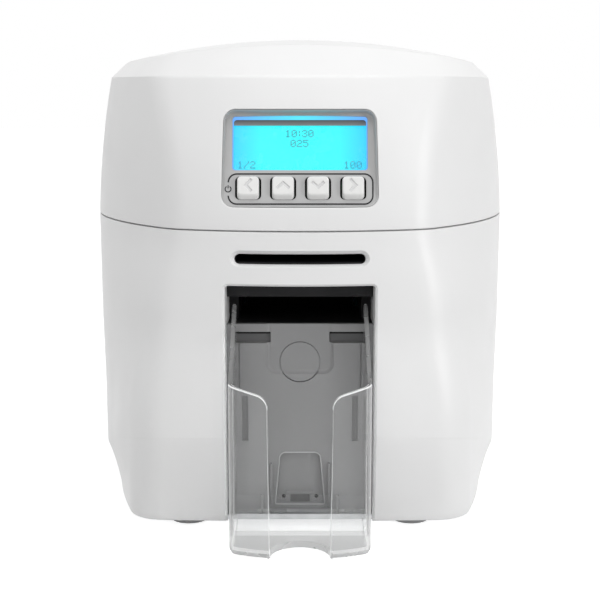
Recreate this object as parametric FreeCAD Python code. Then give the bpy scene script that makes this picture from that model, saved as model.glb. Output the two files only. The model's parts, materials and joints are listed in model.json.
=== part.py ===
import FreeCAD, Part
import math
import os

# Desktop card printer with a hinged lid, in millimetres.
# +Z is up and the front faces -Y. While it is being built, Y counts back from the front of the body.
# The finished pieces are moved so that the origin is under the middle of the whole machine, on the table.

Vec = FreeCAD.Vector
X_AXIS = Vec(1, 0, 0)
Y_AXIS = Vec(0, 1, 0)
Z_AXIS = Vec(0, 0, 1)

# Body casing
seam_z = 144.0
seam_gap = 0.6
body_back = 233.0
widest_y = 118.0
case_wall = 2.6
foot_height = 4.0
overrun = 2.0
fit_gap = 0.3
seat_gap = 0.3
running_gap = 0.05

# Plan outlines: half width, then front, corner and side radii
seam_half = 107.2
seam_radii = (170.0, 28.0, 143.5)
belly_half = 106.8
belly_radii = (230.0, 29.0, 170.0)
belly_share = 0.45
case_level_shares = (0.12, 0.26, 0.45, 0.6, 0.75, 0.88)
crease_half = 105.2
crease_radii = (407.0, 26.0, 225.0)
rear_corner_radius = 28.0

# Tapered skirt under the lower crease, which falls towards the back
crease_z = 46.5
crease_fall = 0.287
crease_back_z = 11.0
foot_front = 8.4
foot_half = 97.3
foot_back_inset = 1.6
foot_radii = (1500.0, 18.0, 320.0)
foot_rear_radius = 26.0
hem_rise = 4.6
hem_out = 0.5

# Lid
lid_crease_z = 213.5
lid_front_lean_radius = 172.5
lid_side_lean_radius = 435.0
lid_side_lean_z = 130.0
lid_back_lean_radius = 500.0
lid_crease_radii = (150.0, 30.0, 138.0)
lid_level_shares = (0.3, 0.65)
chamfer_top_z = 240.0
chamfer_front_run = 32.9
chamfer_side_run = 28.0
chamfer_back_run = 27.0
chamfer_top_radii = (110.0, 12.0, 104.0)
crease_drop_share = 0.4
crest_z = 232.3
crest_y = 100.0
roof_across_radius = 354.0
roof_front_radius = 560.0
roof_back_radius = 1400.0
roof_half_angle = 26.0
roof_skirt = 20.0
lip_wall = 1.6
lip_gap = 0.4
lip_height = 3.0
lip_root = 6.0

# Roof vents
vent_places = (6.2, 16.4, 26.6)
vent_width = 2.6
vent_front = 90.0
vent_back = 128.0

# Card slot in the front
slot_z = 131.8
slot_half = 29.7
slot_half_height = 2.3
slot_bevel = 1.7
guide_half = 34.0
guide_wall = 2.2
guide_back = 50.0

# Bay for the output tray
bay_half = 35.3
bay_top = 119.8
bay_wall = 2.2
bay_wall_back = 42.0
bay_corner = 1.6

# Base plate, feet and case screws
base_thick = 2.5
foot_radius = 9.0
foot_places = ((54.0, 26.0), (80.0, 200.0))
boss_radius = 6.0
boss_height = 16.0
boss_web = 2.4
side_boss_inset = 7.3
side_boss_y = 100.0
front_boss_x = 70.0
front_boss_y = 34.0
back_boss_x = 34.0
back_boss_inset = 8.0
screw_radius = 1.5
screw_head_radius = 2.9
screw_head_height = 1.6
screw_length = 12.0

# Chassis side plates
plate_inner = 42.0
plate_thick = 1.5
plate_front = 46.0
plate_back = 217.0
plate_top = 142.0
plate_rear_top = 162.0
plate_step_front = 142.0
plate_step_back = 150.0
plate_flange = 5.0
plate_lower_z = 92.0
plate_nose_y = 80.0
tie_bar_radius = 3.0
tie_bar_places = ((88.0, 30.0), (88.0, 84.0), (131.0, 62.0))

# Feed rollers
roller_z = 124.4
roller_radius = 7.0
roller_half = 29.0
shaft_radius = 3.0
small_shaft_radius = 2.0
platen_y = 104.0
front_feed_y = 60.0
rear_feed_y = 128.0
pick_y = 165.0
card_clearance = 0.8
pinch_radius = 4.5
cleaning_radius = 5.0
cleaning_y = 146.0
bushing_radius = 5.0
bushing_half = 1.5
bushing_collar = 0.9
shaft_right_end = 46.0
feed_pulley_radius = 6.0
pulley_flange = 1.0
feed_belt_x = 47.2
feed_belt_width = 2.6
motor_belt_x = 51.4
motor_belt_width = 2.6
platen_pulley_radius = 9.0
motor_pulley_radius = 5.0
belt_thick = 1.1
pulley_rim = 0.5
roller_hub_radius = 4.2
roller_hub_reach = 5.0

# Drive motor
motor_y = 106.0
motor_z = 70.0
motor_side = 42.0
motor_side_room = 10.0
motor_face_x = 58.0
motor_corner = 5.0
motor_boss_radius = 11.0
motor_boss_height = 1.6
motor_stand_spacing = 31.0
motor_stand_radius = 3.0
motor_shaft_radius = 2.5

# Card path
guide_sheet = 0.8
guide_sheet_drop = 0.8
guide_sheet_spans = ((90.0, 97.5), (110.5, 121.5), (134.5, 138.5))
flap_y = 86.0
flap_z = 120.0
flap_tip_y = 70.0
flap_tip_z = 130.4
flap_thick = 1.2
flap_half = 28.0
flap_hub_radius = 3.2

# Exit chute
chute_half = 30.0
chute_wall = 1.6
chute_back = 76.0
chute_top = 111.0
chute_bar_front = 20.0
chute_bar_back = 24.0
chute_ear_height = 3.0
chute_ear_front = 60.0

# Stacker back plate
stack_plate_front = 15.0
stack_plate_thick = 3.0
stack_plate_top = 98.8
hanger_low = 89.7
hanger_high = 95.0
hanger_inner = 13.8
hanger_outer = 30.7
thumb_half = 16.2
thumb_low = 74.7
thumb_corner = 4.5
thumb_depth = 0.8
ring_z = 80.5
ring_radius = 9.7
ring_width = 0.6
ring_depth = 0.5
rail_inner = 24.7
rail_outer = 27.6
rail_low = 42.0
rail_high = 64.0
line_x = 28.3
line_width = 0.5
line_low = 70.0
line_high = 97.5
pocket_top = 36.8
pocket_low = 10.6
pocket_shoulder = 15.0
pocket_top_half = 9.1
pocket_half = 11.5
pocket_depth = 1.8
window_half = 4.8
window_low = 11.2
window_high = 15.4
pin_hole_x = 7.9
pin_hole_z = 15.0
pin_hole_radius = 0.8
rib_places = ((13.6, 9.6, 30.0), (18.3, 7.4, 14.2))
rib_width = 0.8
rib_height = 0.6

# Output tray
tray_half = 32.4
tray_wall = 2.0
tray_side_front = -31.0
tray_bow = 11.0
tray_back = 14.2
tray_back_top = 108.5
tray_front_top = 80.0
tray_panel_top = 77.0
tray_gap_top = 14.6
tray_gap_low = 13.4
tray_floor_thick = 2.0
tray_front_bottom = 4.0
ramp_front = -14.0
ramp_back = 2.0
notch_radius = 13.4
notch_y = -36.2
tray_corner = 5.0
tray_panel_corner = 5.0

# Card hopper in the back
hopper_half = 28.5
hopper_wall = 2.0
hopper_front = 139.0
hopper_floor_z = 34.0
hopper_floor_thick = 2.0
hopper_back = 228.4
hopper_gate_z = 129.6
lift_half = 27.6
lift_thick = 2.0
lift_top = 131.2
lift_front = 142.6
lift_back = 226.4
spring_radius = 9.0
spring_wire = 1.1
spring_turns = 9
spring_y = 184.0
coil_arcs_per_turn = 4

# Hopper door in the back wall
door_half = 31.0
door_low = 38.0
door_high = 134.0
door_gap = 0.4
door_pull_half = 9.0
door_pull_height = 6.0
door_pull_depth = 1.4
door_barrel_radius = 2.2
door_axis_out = 2.5
door_knuckle_inner = 14.0
door_knuckle_outer = 24.0
door_knuckle_length = 4.0
pin_radius = 1.2

# Lid hinge behind the body
hinge_out = 3.7
hinge_barrel_radius = 3.2
hinge_inner = 45.0
hinge_outer = 75.0
hinge_knuckle = 9.0
hinge_leaf = 10.0
hinge_pin_radius = 1.5
knuckle_gap = 0.3

# Latch on the lid
latch_y = 40.0
latch_z = 165.0
latch_shaft_radius = 2.0
latch_x = 62.0
latch_half_width = 3.5
latch_thick = 2.4
latch_low = 134.5
latch_nose = 5.0
latch_nose_height = 4.0
latch_ear_x = 68.0
latch_ear_thick = 2.4
latch_ear_half = 5.0
keeper_back = 29.0
keeper_top = 139.5
keeper_low = 126.0
keeper_half = 5.0

# Control panel, measured on its own tilted face from the middle of its lower edge
panel_tilt = 15.0
panel_y = 4.4
panel_z = 155.4
panel_half = 35.5
panel_height = 44.8
panel_corner = 5.5
panel_gap = 0.2
panel_thick = 2.0
panel_frame_wall = 1.8
window_opening_half = 30.9
window_opening_low = 16.4
window_opening_high = 41.4
window_corner = 1.2
window_thick = 1.2
window_margin = 1.6
lcd_half = 30.3
lcd_low = 16.8
lcd_high = 37.4
lcd_thick = 2.6
lcd_frame = 1.5
lcd_gap = 0.5
keypad_thick = 1.6
keypad_depth = 5.6
keypad_post = 1.4
keypad_low = 0.4
keypad_high = 15.2

# Buttons
button_pitch = 15.95
button_half = 5.0
button_low = 2.9
button_face_low = 5.0
button_high = 13.3
button_corner = 1.8
button_proud = 1.7
button_lip_proud = 0.3
button_clearance = 0.7
button_travel = 1.0
button_flange = 1.1
button_flange_thick = 0.9
button_stem = 2.2
chevron_half_height = 2.9
chevron_half_width = 1.8
chevron_stroke = 1.2
chevron_depth = 0.4

# Frame inside the lid
frame_z = 198.0
frame_thick = 2.0
frame_half = 46.0
frame_front = 58.0
frame_back = 198.0
frame_skirt = 8.0
post_radius = 4.0
post_places = ((38.0, 66.0), (38.0, 190.0))
ear_x = 38.0
ear_thick = 2.5
ear_half = 7.0
head_pivot_y = 140.0
head_pivot_z = 189.0

# Print head
head_half = 33.0
head_front = 90.0
head_back = 118.0
head_low = 146.0
head_top = 184.0
head_base = 9.0
fin_count = 7
fin_thick = 1.4
head_bar_half = 30.0
head_bar_front = 97.0
head_bar_back = 111.0
head_bar_low = 132.9
head_tip = 4.0
head_arm_thick = 3.0
head_arm_height = 9.0
head_spring_radius = 3.6
head_spring_wire = 0.9
head_spring_turns = 4
head_spring_x = 20.0
head_spring_seat = 10.0

# Ribbon cassette
cassette_half = 36.0
cassette_wall = 2.0
cassette_front = 50.0
cassette_back = 160.0
cassette_low = 142.3
cassette_top = 176.0
cassette_flange = 7.5
cassette_flange_thick = 1.7
cassette_flange_back = 138.0
cassette_bar_radius = 2.5
cassette_arch_radius = 22.0
supply_y = 66.0
takeup_y = 140.0
spool_z = 165.0
supply_roll_radius = 14.0
takeup_roll_radius = 10.0
film_half = 29.0
spool_core_radius = 5.0
spool_pin_radius = 3.0
spool_flange = 1.4
film_thick = 0.2
film_z = 132.3
film_front = 97.0
film_back = 111.0

# Ribbon gears
gear_module = 1.0
gear_teeth = 36
pinion_teeth = 12
gear_play = 0.15
gear_x = 38.8
gear_width = 2.4
gear_direction = -30.0
tooth_backlash = 0.3
tooth_slope = 20.0
addendum_share = 0.9
dedendum_share = 1.25
ribbon_motor_radius = 8.0
ribbon_motor_length = 18.0
ribbon_shaft_radius = 1.5

# Circuit board and sockets
board_inner = 46.0
board_side_room = 17.2
board_front = 118.0
board_back_room = 9.0
board_z = 13.0
board_thick = 1.6
stand_radius = 3.2
stand_inset = 5.0
usb_x = 52.6
usb_half = 6.0
usb_height = 11.0
usb_length = 16.0
network_x = 67.6
network_half = 8.0
network_height = 13.5
network_length = 21.0
inlet_x = 81.2
inlet_half = 4.6
inlet_height = 11.0
inlet_length = 14.0
inlet_hole_radius = 3.1
inlet_pin_radius = 1.0
socket_wall = 1.2
socket_step = 2.0
socket_reach = 231.4
socket_window_inner = 45.4
socket_window_outer = 87.0
socket_window_low = 12.0
socket_window_high = 31.0
chip_shares = ((0.38, 0.3, 0.21, 0.038), (0.83, 0.26, 0.14, 0.028), (0.33, 0.62, 0.12, 0.028))
can_shares = ((0.88, 0.55), (0.88, 0.66))
can_radius = 4.0
can_height = 11.0

# Fan in the back
fan_side_room = 23.2
fan_z = 78.0
fan_depth = 10.0
fan_back = 229.9
fan_corner = 3.0
fan_rim = 1.2
fan_tip_gap = 0.8
fan_hub_share = 0.25
fan_blades = 7
fan_blade_thick = 1.2
fan_blade_turn = 35.0
fan_strut = 2.4
fan_pin_radius = 2.0
grille_slots = 6
grille_slot_width = 2.6
grille_slot_pitch = 5.6
grille_slot_length = 34.0

# Levels and faces that follow from the sizes above
narrow_half = min(seam_half, belly_half, crease_half)
wide_half = max(seam_half, belly_half, crease_half)
case_bottom = foot_height
lid_bottom = seam_z + seam_gap / 2
case_top = seam_z - seam_gap / 2
collar_z = crease_z + overrun
base_top = case_bottom + base_thick
card_top = roller_z + roller_radius + card_clearance
pinch_z = card_top + pinch_radius
cleaning_z = card_top + cleaning_radius
pick_z = card_top + roller_radius
plate_outer = plate_inner + plate_thick
side_boss_places = ((foot_half - side_boss_inset, side_boss_y),)
front_boss_places = ((front_boss_x, front_boss_y),)
back_boss_places = ((back_boss_x, body_back - back_boss_inset),)
boss_places = side_boss_places + front_boss_places + back_boss_places
motor_length = narrow_half - motor_side_room - motor_face_x - motor_boss_height - case_wall
board_outer = narrow_half - board_side_room
board_back = body_back - board_back_room
fan_outer = narrow_half - fan_side_room
fan_x = -(plate_inner + fan_outer) / 2
fan_side = fan_outer - plate_inner
fan_bore_radius = fan_side / 2 - fan_rim
fan_blade_radius = fan_bore_radius - fan_tip_gap
fan_hub_radius = fan_side * fan_hub_share
hinge_y = body_back + hinge_out
door_axis_y = body_back + door_axis_out
pinion_reach = gear_module * (gear_teeth + pinion_teeth) / 2 + gear_play
pinion_y = takeup_y + pinion_reach * math.cos(math.radians(gear_direction))
pinion_z = spool_z + pinion_reach * math.sin(math.radians(gear_direction))
spring_floor = hopper_floor_z + hopper_floor_thick + seat_gap
spring_top = lift_top - lift_thick - seat_gap
tray_low = base_top + seat_gap


# Simple solids

def block(x0, x1, y0, y1, z0, z1):
    return Part.makeBox(x1 - x0, y1 - y0, z1 - z0, Vec(x0, y0, z0))


def rod_x(x0, x1, y, z, radius):
    return Part.makeCylinder(radius, x1 - x0, Vec(x0, y, z), X_AXIS)


def rod_y(x, z, y0, y1, radius):
    return Part.makeCylinder(radius, y1 - y0, Vec(x, y0, z), Y_AXIS)


def rod_z(x, y, z0, z1, radius):
    return Part.makeCylinder(radius, z1 - z0, Vec(x, y, z0), Z_AXIS)


def polygon_solid(points, direction):
    wire = Part.makePolygon(points + points[:1])
    return Part.Face(wire).extrude(direction)


def prism_x(points, x0, x1):
    return polygon_solid([Vec(x0, y, z) for y, z in points], X_AXIS * (x1 - x0))


def prism_y(points, y0, y1):
    return polygon_solid([Vec(x, y0, z) for x, z in points], Y_AXIS * (y1 - y0))


def join(shapes):
    return shapes[0].multiFuse(shapes[1:]).removeSplitter()


def carve(shape, tools):
    return shape.cut(tools)


def mirrored(shape):
    return shape.mirror(Vec(0, 0, 0), X_AXIS)


def pair(shape):
    return [shape, mirrored(shape)]


def group(shapes):
    return Part.makeCompound(shapes)


def rounded_face(place, u0, u1, v0, v1, radius):
    """Face of a rounded rectangle; place turns its two coordinates into a point."""
    corners = [(u1, v0, 1, -1), (u1, v1, 1, 1), (u0, v1, -1, 1), (u0, v0, -1, -1)]
    edges = []
    ends = []
    for u, v, side_u, side_v in corners:
        centre_u = u - side_u * radius
        centre_v = v - side_v * radius
        slant = radius / math.sqrt(2)
        first = place(centre_u + radius, v) if side_u > 0 else place(u, v)
        along_u = place(centre_u, v)
        along_v = place(u, centre_v)
        middle = place(centre_u + side_u * slant, centre_v + side_v * slant)
        order = (along_u, along_v) if side_u * side_v < 0 else (along_v, along_u)
        edges.append(Part.Arc(order[0], middle, order[1]).toShape())
        ends.append(order)
    for i, order in enumerate(ends):
        following = ends[(i + 1) % len(ends)]
        edges.append(Part.LineSegment(order[1], following[0]).toShape())
    return Part.Face(Part.Wire(Part.__sortEdges__(edges)))


def rounded_y(x0, x1, z0, z1, y0, y1, radius):
    face = rounded_face(lambda u, v: Vec(u, y0, v), x0, x1, z0, z1, radius)
    return face.extrude(Y_AXIS * (y1 - y0))


def rounded_x(y0, y1, z0, z1, x0, x1, radius):
    face = rounded_face(lambda u, v: Vec(x0, u, v), y0, y1, z0, z1, radius)
    return face.extrude(X_AXIS * (x1 - x0))


def rounded_z(x0, x1, y0, y1, z0, z1, radius):
    face = rounded_face(lambda u, v: Vec(u, v, z0), x0, x1, y0, y1, radius)
    return face.extrude(Z_AXIS * (z1 - z0))


# Outlines of the body seen from above

def corner_circle(front, half, radii):
    """Centres of the front, corner and side arcs, which meet in tangents."""
    front_r, corner_r, side_r = radii
    front_c = Vec(0, front + front_r, 0)
    side_c = Vec(half - side_r, widest_y, 0)
    reach_front = front_r - corner_r
    reach_side = side_r - corner_r
    link = side_c - front_c
    along = (reach_front ** 2 - reach_side ** 2 + link.Length ** 2) / (2 * link.Length)
    aside = math.sqrt(reach_front ** 2 - along ** 2)
    unit = Vec(link).normalize()
    sideways = Vec(-unit.y, unit.x, 0)
    options = [front_c + unit * along + sideways * aside * turn for turn in (1, -1)]
    corner_c = max(options, key=lambda c: c.x - c.y)
    return front_c, corner_c, side_c


def plan_edges(height, front, half, back, radii, rear_r):
    """Tangent arcs and straight runs of a closed outline; height gives each point's Z from its Y."""
    front_c, corner_c, side_c = corner_circle(front, half, radii)
    front_r, corner_r, side_r = radii
    to_front = (corner_c - front_c).normalize()
    to_side = (corner_c - side_c).normalize()
    first = front_c + to_front * front_r
    second = side_c + to_side * side_r
    corner_mid = corner_c + (to_front + to_side).normalize() * corner_r
    side_mid = side_c + (to_side + X_AXIS).normalize() * side_r
    widest = Vec(half, widest_y, 0)
    slant = rear_r / math.sqrt(2)
    rear_side = Vec(half, back - rear_r, 0)
    rear_mid = Vec(half - rear_r + slant, back - rear_r + slant, 0)
    rear_end = Vec(half - rear_r, back, 0)

    def right(p):
        return Vec(p.x, p.y, height(p.y))

    def left(p):
        return Vec(-p.x, p.y, height(p.y))

    edges = [Part.Arc(left(first), Vec(0, front, height(front)), right(first)).toShape()]
    edges.append(Part.Arc(right(first), right(corner_mid), right(second)).toShape())
    edges.append(Part.Arc(right(second), right(side_mid), right(widest)).toShape())
    edges.append(Part.LineSegment(right(widest), right(rear_side)).toShape())
    edges.append(Part.Arc(right(rear_side), right(rear_mid), right(rear_end)).toShape())
    edges.append(Part.LineSegment(right(rear_end), left(rear_end)).toShape())
    edges.append(Part.Arc(left(rear_end), left(rear_mid), left(rear_side)).toShape())
    edges.append(Part.LineSegment(left(rear_side), left(widest)).toShape())
    edges.append(Part.Arc(left(widest), left(side_mid), left(second)).toShape())
    edges.append(Part.Arc(left(second), left(corner_mid), left(first)).toShape())
    return edges


def plan_wire(z, front, half, back, radii, rear_r):
    """Closed outline at one height."""
    return Part.Wire(plan_edges(lambda y: z, front, half, back, radii, rear_r))


def inset_radii(radii, inset):
    return tuple(r - inset for r in radii)


def blended(first, last, share):
    return tuple(a + (b - a) * share for a, b in zip(first, last))


# Lower case form

def case_form(inset):
    """Solid inside the lower case's outer face, drawn in by the inset."""
    back = body_back - inset
    rear_r = rear_corner_radius - inset
    levels = [(seam_z + lip_height + overrun, seam_half, seam_radii), (seam_z, seam_half, seam_radii)]
    for share in case_level_shares:
        levels.append((seam_z + (collar_z - seam_z) * share, ) + case_section(share))
    levels.append((collar_z, crease_half, crease_radii))
    wires = []
    for z, half, radii in levels:
        wires.append(plan_wire(z, inset, half - inset, back, inset_radii(radii, inset), rear_r))
    barrel = Part.makeLoft(wires, True, True)
    return barrel.fuse(skirt_form(inset))


def case_section(share):
    """Half width and radii a share of the way from the seam down to the crease."""
    first = (seam_half, ) + seam_radii
    middle = (belly_half, ) + belly_radii
    last = (crease_half, ) + crease_radii
    if share < belly_share:
        row = blended(first, middle, eased(share / belly_share))
    else:
        row = blended(middle, last, eased((share - belly_share) / (1 - belly_share)))
    return row[0], row[1:]


def eased(share):
    return share * share * (3 - 2 * share)


def crease_height(y):
    """Height of the lower crease: it falls evenly to the widest place, and then levels out."""
    if y <= widest_y:
        return crease_z - crease_fall * y
    fallen = crease_z - crease_fall * widest_y
    share = min((y - widest_y) / (body_back - rear_corner_radius - widest_y), 1)
    return fallen + (crease_back_z - fallen) * share


def ruled_band(lower, upper):
    """Faces between two outlines that have the same runs of arcs and lines."""
    return [Part.makeRuledSurface(a, b) for a, b in zip(lower, upper)]


def skirt_form(inset):
    """Solid from the collar under the barrel to the foot, with the falling crease round it."""
    back = body_back - inset
    outline = (inset, crease_half - inset, back, inset_radii(crease_radii, inset), rear_corner_radius - inset)
    collar = plan_edges(lambda y: collar_z, *outline)
    crease = plan_edges(crease_height, *outline)
    rings = []
    for z, out in ((case_bottom + hem_rise, hem_out), (case_bottom, 0), (case_bottom - overrun, 0)):
        pull = inset - out
        radii = inset_radii(foot_radii, pull)
        rings.append(plan_edges(lambda y: z, foot_front + pull, foot_half - pull,
                                body_back - foot_back_inset - pull, radii, foot_rear_radius - pull))
    bands = [collar, crease] + rings
    faces = [Part.Face(Part.Wire(collar)), Part.Face(Part.Wire(rings[-1]))]
    for upper, lower in zip(bands, bands[1:]):
        faces += ruled_band(lower, upper)
    shell = Part.makeShell(faces)
    shell.sewShape()
    return Part.makeSolid(shell)


# Lid form

def lid_front(z):
    return max(z - seam_z, 0) ** 2 / (2 * lid_front_lean_radius)


def lid_half(z):
    rise = (z - lid_side_lean_z) ** 2 - (seam_z - lid_side_lean_z) ** 2
    return seam_half - rise / (2 * lid_side_lean_radius)


def lid_back(z):
    return body_back - max(z - seam_z, 0) ** 2 / (2 * lid_back_lean_radius)


def roof_point(radius, run, top):
    """Point on one of the roof's lengthwise arcs, a run away from the crest."""
    return Vec(0, crest_y + run, top - radius + math.sqrt(radius ** 2 - run ** 2))


def roof_dome(inset):
    """Wedge under the roof's doubly curved top."""
    across = roof_across_radius - inset
    hub_z = crest_z - roof_across_radius
    top = hub_z + across
    crest = Vec(0, crest_y, top)
    front_mid = roof_point(roof_front_radius - inset, -body_back / 2, top)
    front = roof_point(roof_front_radius - inset, -body_back, top)
    back_mid = roof_point(roof_back_radius - inset, body_back / 2, top)
    back = roof_point(roof_back_radius - inset, body_back, top)
    low = seam_z - roof_skirt
    edges = [Part.Arc(front, front_mid, crest).toShape()]
    edges.append(Part.Arc(crest, back_mid, back).toShape())
    edges.append(Part.LineSegment(back, Vec(0, back.y, low)).toShape())
    edges.append(Part.LineSegment(Vec(0, back.y, low), Vec(0, front.y, low)).toShape())
    edges.append(Part.LineSegment(Vec(0, front.y, low), front).toShape())
    face = Part.Face(Part.Wire(edges))
    hub = Vec(0, 0, hub_z)
    face.rotate(hub, Y_AXIS, -roof_half_angle)
    return face.revolve(hub, Y_AXIS, 2 * roof_half_angle)


def lid_form(inset):
    """Solid inside the lid's outer face, drawn in by the inset."""
    crease = lid_crease_z - inset * crease_drop_share
    rise = crease - seam_z
    levels = [(lid_bottom - overrun, 0), (seam_z, 0)]
    levels += [(seam_z + rise * share, share) for share in lid_level_shares]
    levels.append((crease, 1))
    rear_r = rear_corner_radius - inset
    wires = []
    for z, share in levels:
        radii = inset_radii(blended(seam_radii, lid_crease_radii, share), inset)
        wires.append(plan_wire(z, lid_front(z) + inset, lid_half(z) - inset, lid_back(z) - inset, radii, rear_r))
    walls = Part.makeLoft(wires, True, False)
    top_front = lid_front(lid_crease_z) + chamfer_front_run + inset
    top_half = lid_half(lid_crease_z) - chamfer_side_run - inset
    top_back = lid_back(lid_crease_z) - chamfer_back_run - inset
    top_rear_r = chamfer_top_radii[1] - inset
    top_radii = inset_radii(chamfer_top_radii, inset)
    top = plan_wire(chamfer_top_z, top_front, top_half, top_back, top_radii, top_rear_r)
    shoulder = Part.makeLoft([wires[-1], top], True, True)
    return walls.fuse(shoulder).common(roof_dome(inset))


# Tilted frame of the control panel

tilt_sin = math.sin(math.radians(panel_tilt))
tilt_cos = math.cos(math.radians(panel_tilt))
PANEL_UP = Vec(0, tilt_sin, tilt_cos)
PANEL_OUT = Vec(0, -tilt_cos, tilt_sin)
PANEL_START = Vec(0, panel_y, panel_z)


def on_panel(u, v, out):
    return PANEL_START + X_AXIS * u + PANEL_UP * v + PANEL_OUT * out


def panel_block(u0, u1, v0, v1, deep, proud, radius):
    """Rounded block square to the panel, from a depth behind its face to a height before it."""
    face = rounded_face(lambda u, v: on_panel(u, v, -deep), u0, u1, v0, v1, radius)
    return face.extrude(PANEL_OUT * (deep + proud))


def panel_prism(points, deep, proud):
    corners = [on_panel(u, v, -deep) for u, v in points]
    return polygon_solid(corners, PANEL_OUT * (deep + proud))


# Lower case and what is fastened to it

def front_radial_cut(half_height, bevel):
    """Card slot through the curved front wall, with an even bevel around its mouth."""
    radius = seam_radii[0]
    turn = math.degrees(math.asin((slot_half - slot_half_height) / radius))
    hub = Vec(0, radius, slot_z)
    inner = radius - guide_wall * 3
    outer = radius + overrun
    bevel_in = radius - bevel
    bevel_out = radius + bevel / 2
    wide = half_height + bevel * (bevel_out - bevel_in) / bevel
    profiles = [
        [(inner, -half_height), (outer, -half_height), (outer, half_height), (inner, half_height)],
        [(bevel_in, -half_height), (bevel_out, -wide), (bevel_out, wide), (bevel_in, half_height)],
    ]
    pieces = []
    for profile in profiles:
        points = [Vec(0, radius - r, slot_z + dz) for r, dz in profile]
        face = Part.Face(Part.makePolygon(points + points[:1]))
        face.rotate(hub, Z_AXIS, -turn)
        pieces.append(face.revolve(hub, Z_AXIS, 2 * turn))
    for side in (-turn, turn):
        outward = Vec(math.sin(math.radians(side)), -math.cos(math.radians(side)), 0)
        pieces.append(Part.makeCylinder(half_height, outer - inner, hub + outward * inner, outward))
        start = hub + outward * bevel_in
        pieces.append(Part.makeCone(half_height, wide, bevel_out - bevel_in, start, outward))
    return join(pieces)


def bay_pocket(grow):
    """Space of the tray bay, grown on its sides and top."""
    half = bay_half + grow
    top = bay_top + grow
    return rounded_y(-half, half, -top, top, -overrun - tray_bow, bay_wall_back, bay_corner + grow)


def case_slab(z0, z1):
    side = wide_half + overrun
    return block(-side, side, -overrun, body_back + overrun, z0, z1)


def grille_cut(z0):
    cuts = []
    half_length = grille_slot_length / 2
    for i in range(grille_slots):
        z = z0 + (i - (grille_slots - 1) / 2) * grille_slot_pitch
        low = z - grille_slot_width / 2
        high = z + grille_slot_width / 2
        radius = grille_slot_width / 2 - fit_gap
        cuts.append(rounded_y(fan_x - half_length, fan_x + half_length, low, high, body_back - case_wall * 2,
                              body_back + overrun, radius))
    return cuts


def knuckle(x0, x1, y, z, radius, leaf_low, leaf_high, wall_face):
    """Hinge barrel with a leaf that reaches the wall."""
    barrel = rod_x(x0, x1, y, z, radius)
    leaf = block(x0, x1, wall_face, y, leaf_low, leaf_high)
    return barrel.fuse(leaf)


def screw_bosses():
    """Bosses of the right half, each with a web that runs out past the wall."""
    z1 = base_top + boss_height
    half = boss_web / 2
    bosses = []
    for x, y in side_boss_places:
        web = block(x, wide_half, y - half, y + half, base_top, z1)
        bosses.append(rod_z(x, y, base_top, z1, boss_radius).fuse(web))
    for x, y in front_boss_places:
        web = block(x - half, x + half, 0, y, base_top, z1)
        bosses.append(rod_z(x, y, base_top, z1, boss_radius).fuse(web))
    for x, y in back_boss_places:
        web = block(x - half, x + half, y, body_back, base_top, z1)
        bosses.append(rod_z(x, y, base_top, z1, boss_radius).fuse(web))
    return bosses


def make_lower_case():
    outer = case_form(0)
    inner = case_form(case_wall)
    shell = outer.common(case_slab(case_bottom, case_top)).cut(inner)
    lip_face = case_form(case_wall + lip_gap)
    lip_inner = case_form(case_wall + lip_gap + lip_wall)
    root_ring = inner.common(case_slab(case_top - lip_root, case_top)).cut(lip_inner)
    lip_ring = lip_face.common(case_slab(case_top - lip_root, seam_z + lip_height)).cut(lip_inner)
    sleeve = bay_pocket(bay_wall).common(outer).common(case_slab(base_top, bay_top + bay_wall))
    pieces = [shell, root_ring, lip_ring, sleeve]
    inside = case_form(case_wall / 2)
    for post in screw_bosses():
        pieces += pair(post.common(inside))
    keeper = block(latch_x - keeper_half, latch_x + keeper_half, 0, keeper_back, keeper_low, keeper_top)
    pieces += pair(keeper.common(inside))
    body = join(pieces)
    wall_face = body_back - case_wall / 2
    hinge_leaf_low = seam_z - hinge_leaf
    for x0 in (hinge_inner, hinge_outer - hinge_knuckle):
        body = body.multiFuse(pair(knuckle(x0, x0 + hinge_knuckle, hinge_y, seam_z, hinge_barrel_radius,
                                           hinge_leaf_low, seam_z, wall_face)))
    for x0 in (door_knuckle_inner, door_knuckle_outer):
        body = body.multiFuse(pair(knuckle(x0, x0 + door_knuckle_length, door_axis_y, door_low,
                                           door_barrel_radius, door_low - door_barrel_radius * 2,
                                           door_low, wall_face)))
    cuts = [bay_pocket(0), front_radial_cut(slot_half_height, slot_bevel)]
    cuts.append(block(-door_half, door_half, body_back - case_wall * 2, body_back + overrun / 2,
                      door_low, door_high).cut(door_barrel_band()))
    cuts.append(rounded_y(socket_window_inner, socket_window_outer, socket_window_low, socket_window_high,
                          body_back - case_wall * 2, body_back + overrun, socket_step))
    cuts += grille_cut(fan_z)
    for x, y in boss_places:
        cuts += pair(rod_z(x, y, base_top - overrun, base_top + boss_height - overrun, screw_radius + running_gap))
    cuts += pair(rod_x(hinge_inner - overrun, hinge_outer + overrun, hinge_y, seam_z,
                       hinge_pin_radius + running_gap))
    door_end = door_knuckle_outer + door_knuckle_length
    cuts += pair(rod_x(door_knuckle_inner - overrun, door_end + overrun, door_axis_y, door_low,
                       pin_radius + running_gap))
    return carve(body, cuts)


def door_barrel_band():
    """Strip below the door opening that keeps the case's door knuckles whole."""
    return block(-door_half, door_half, body_back, body_back + overrun, door_low - overrun,
                 door_low + door_barrel_radius * 2)


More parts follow.
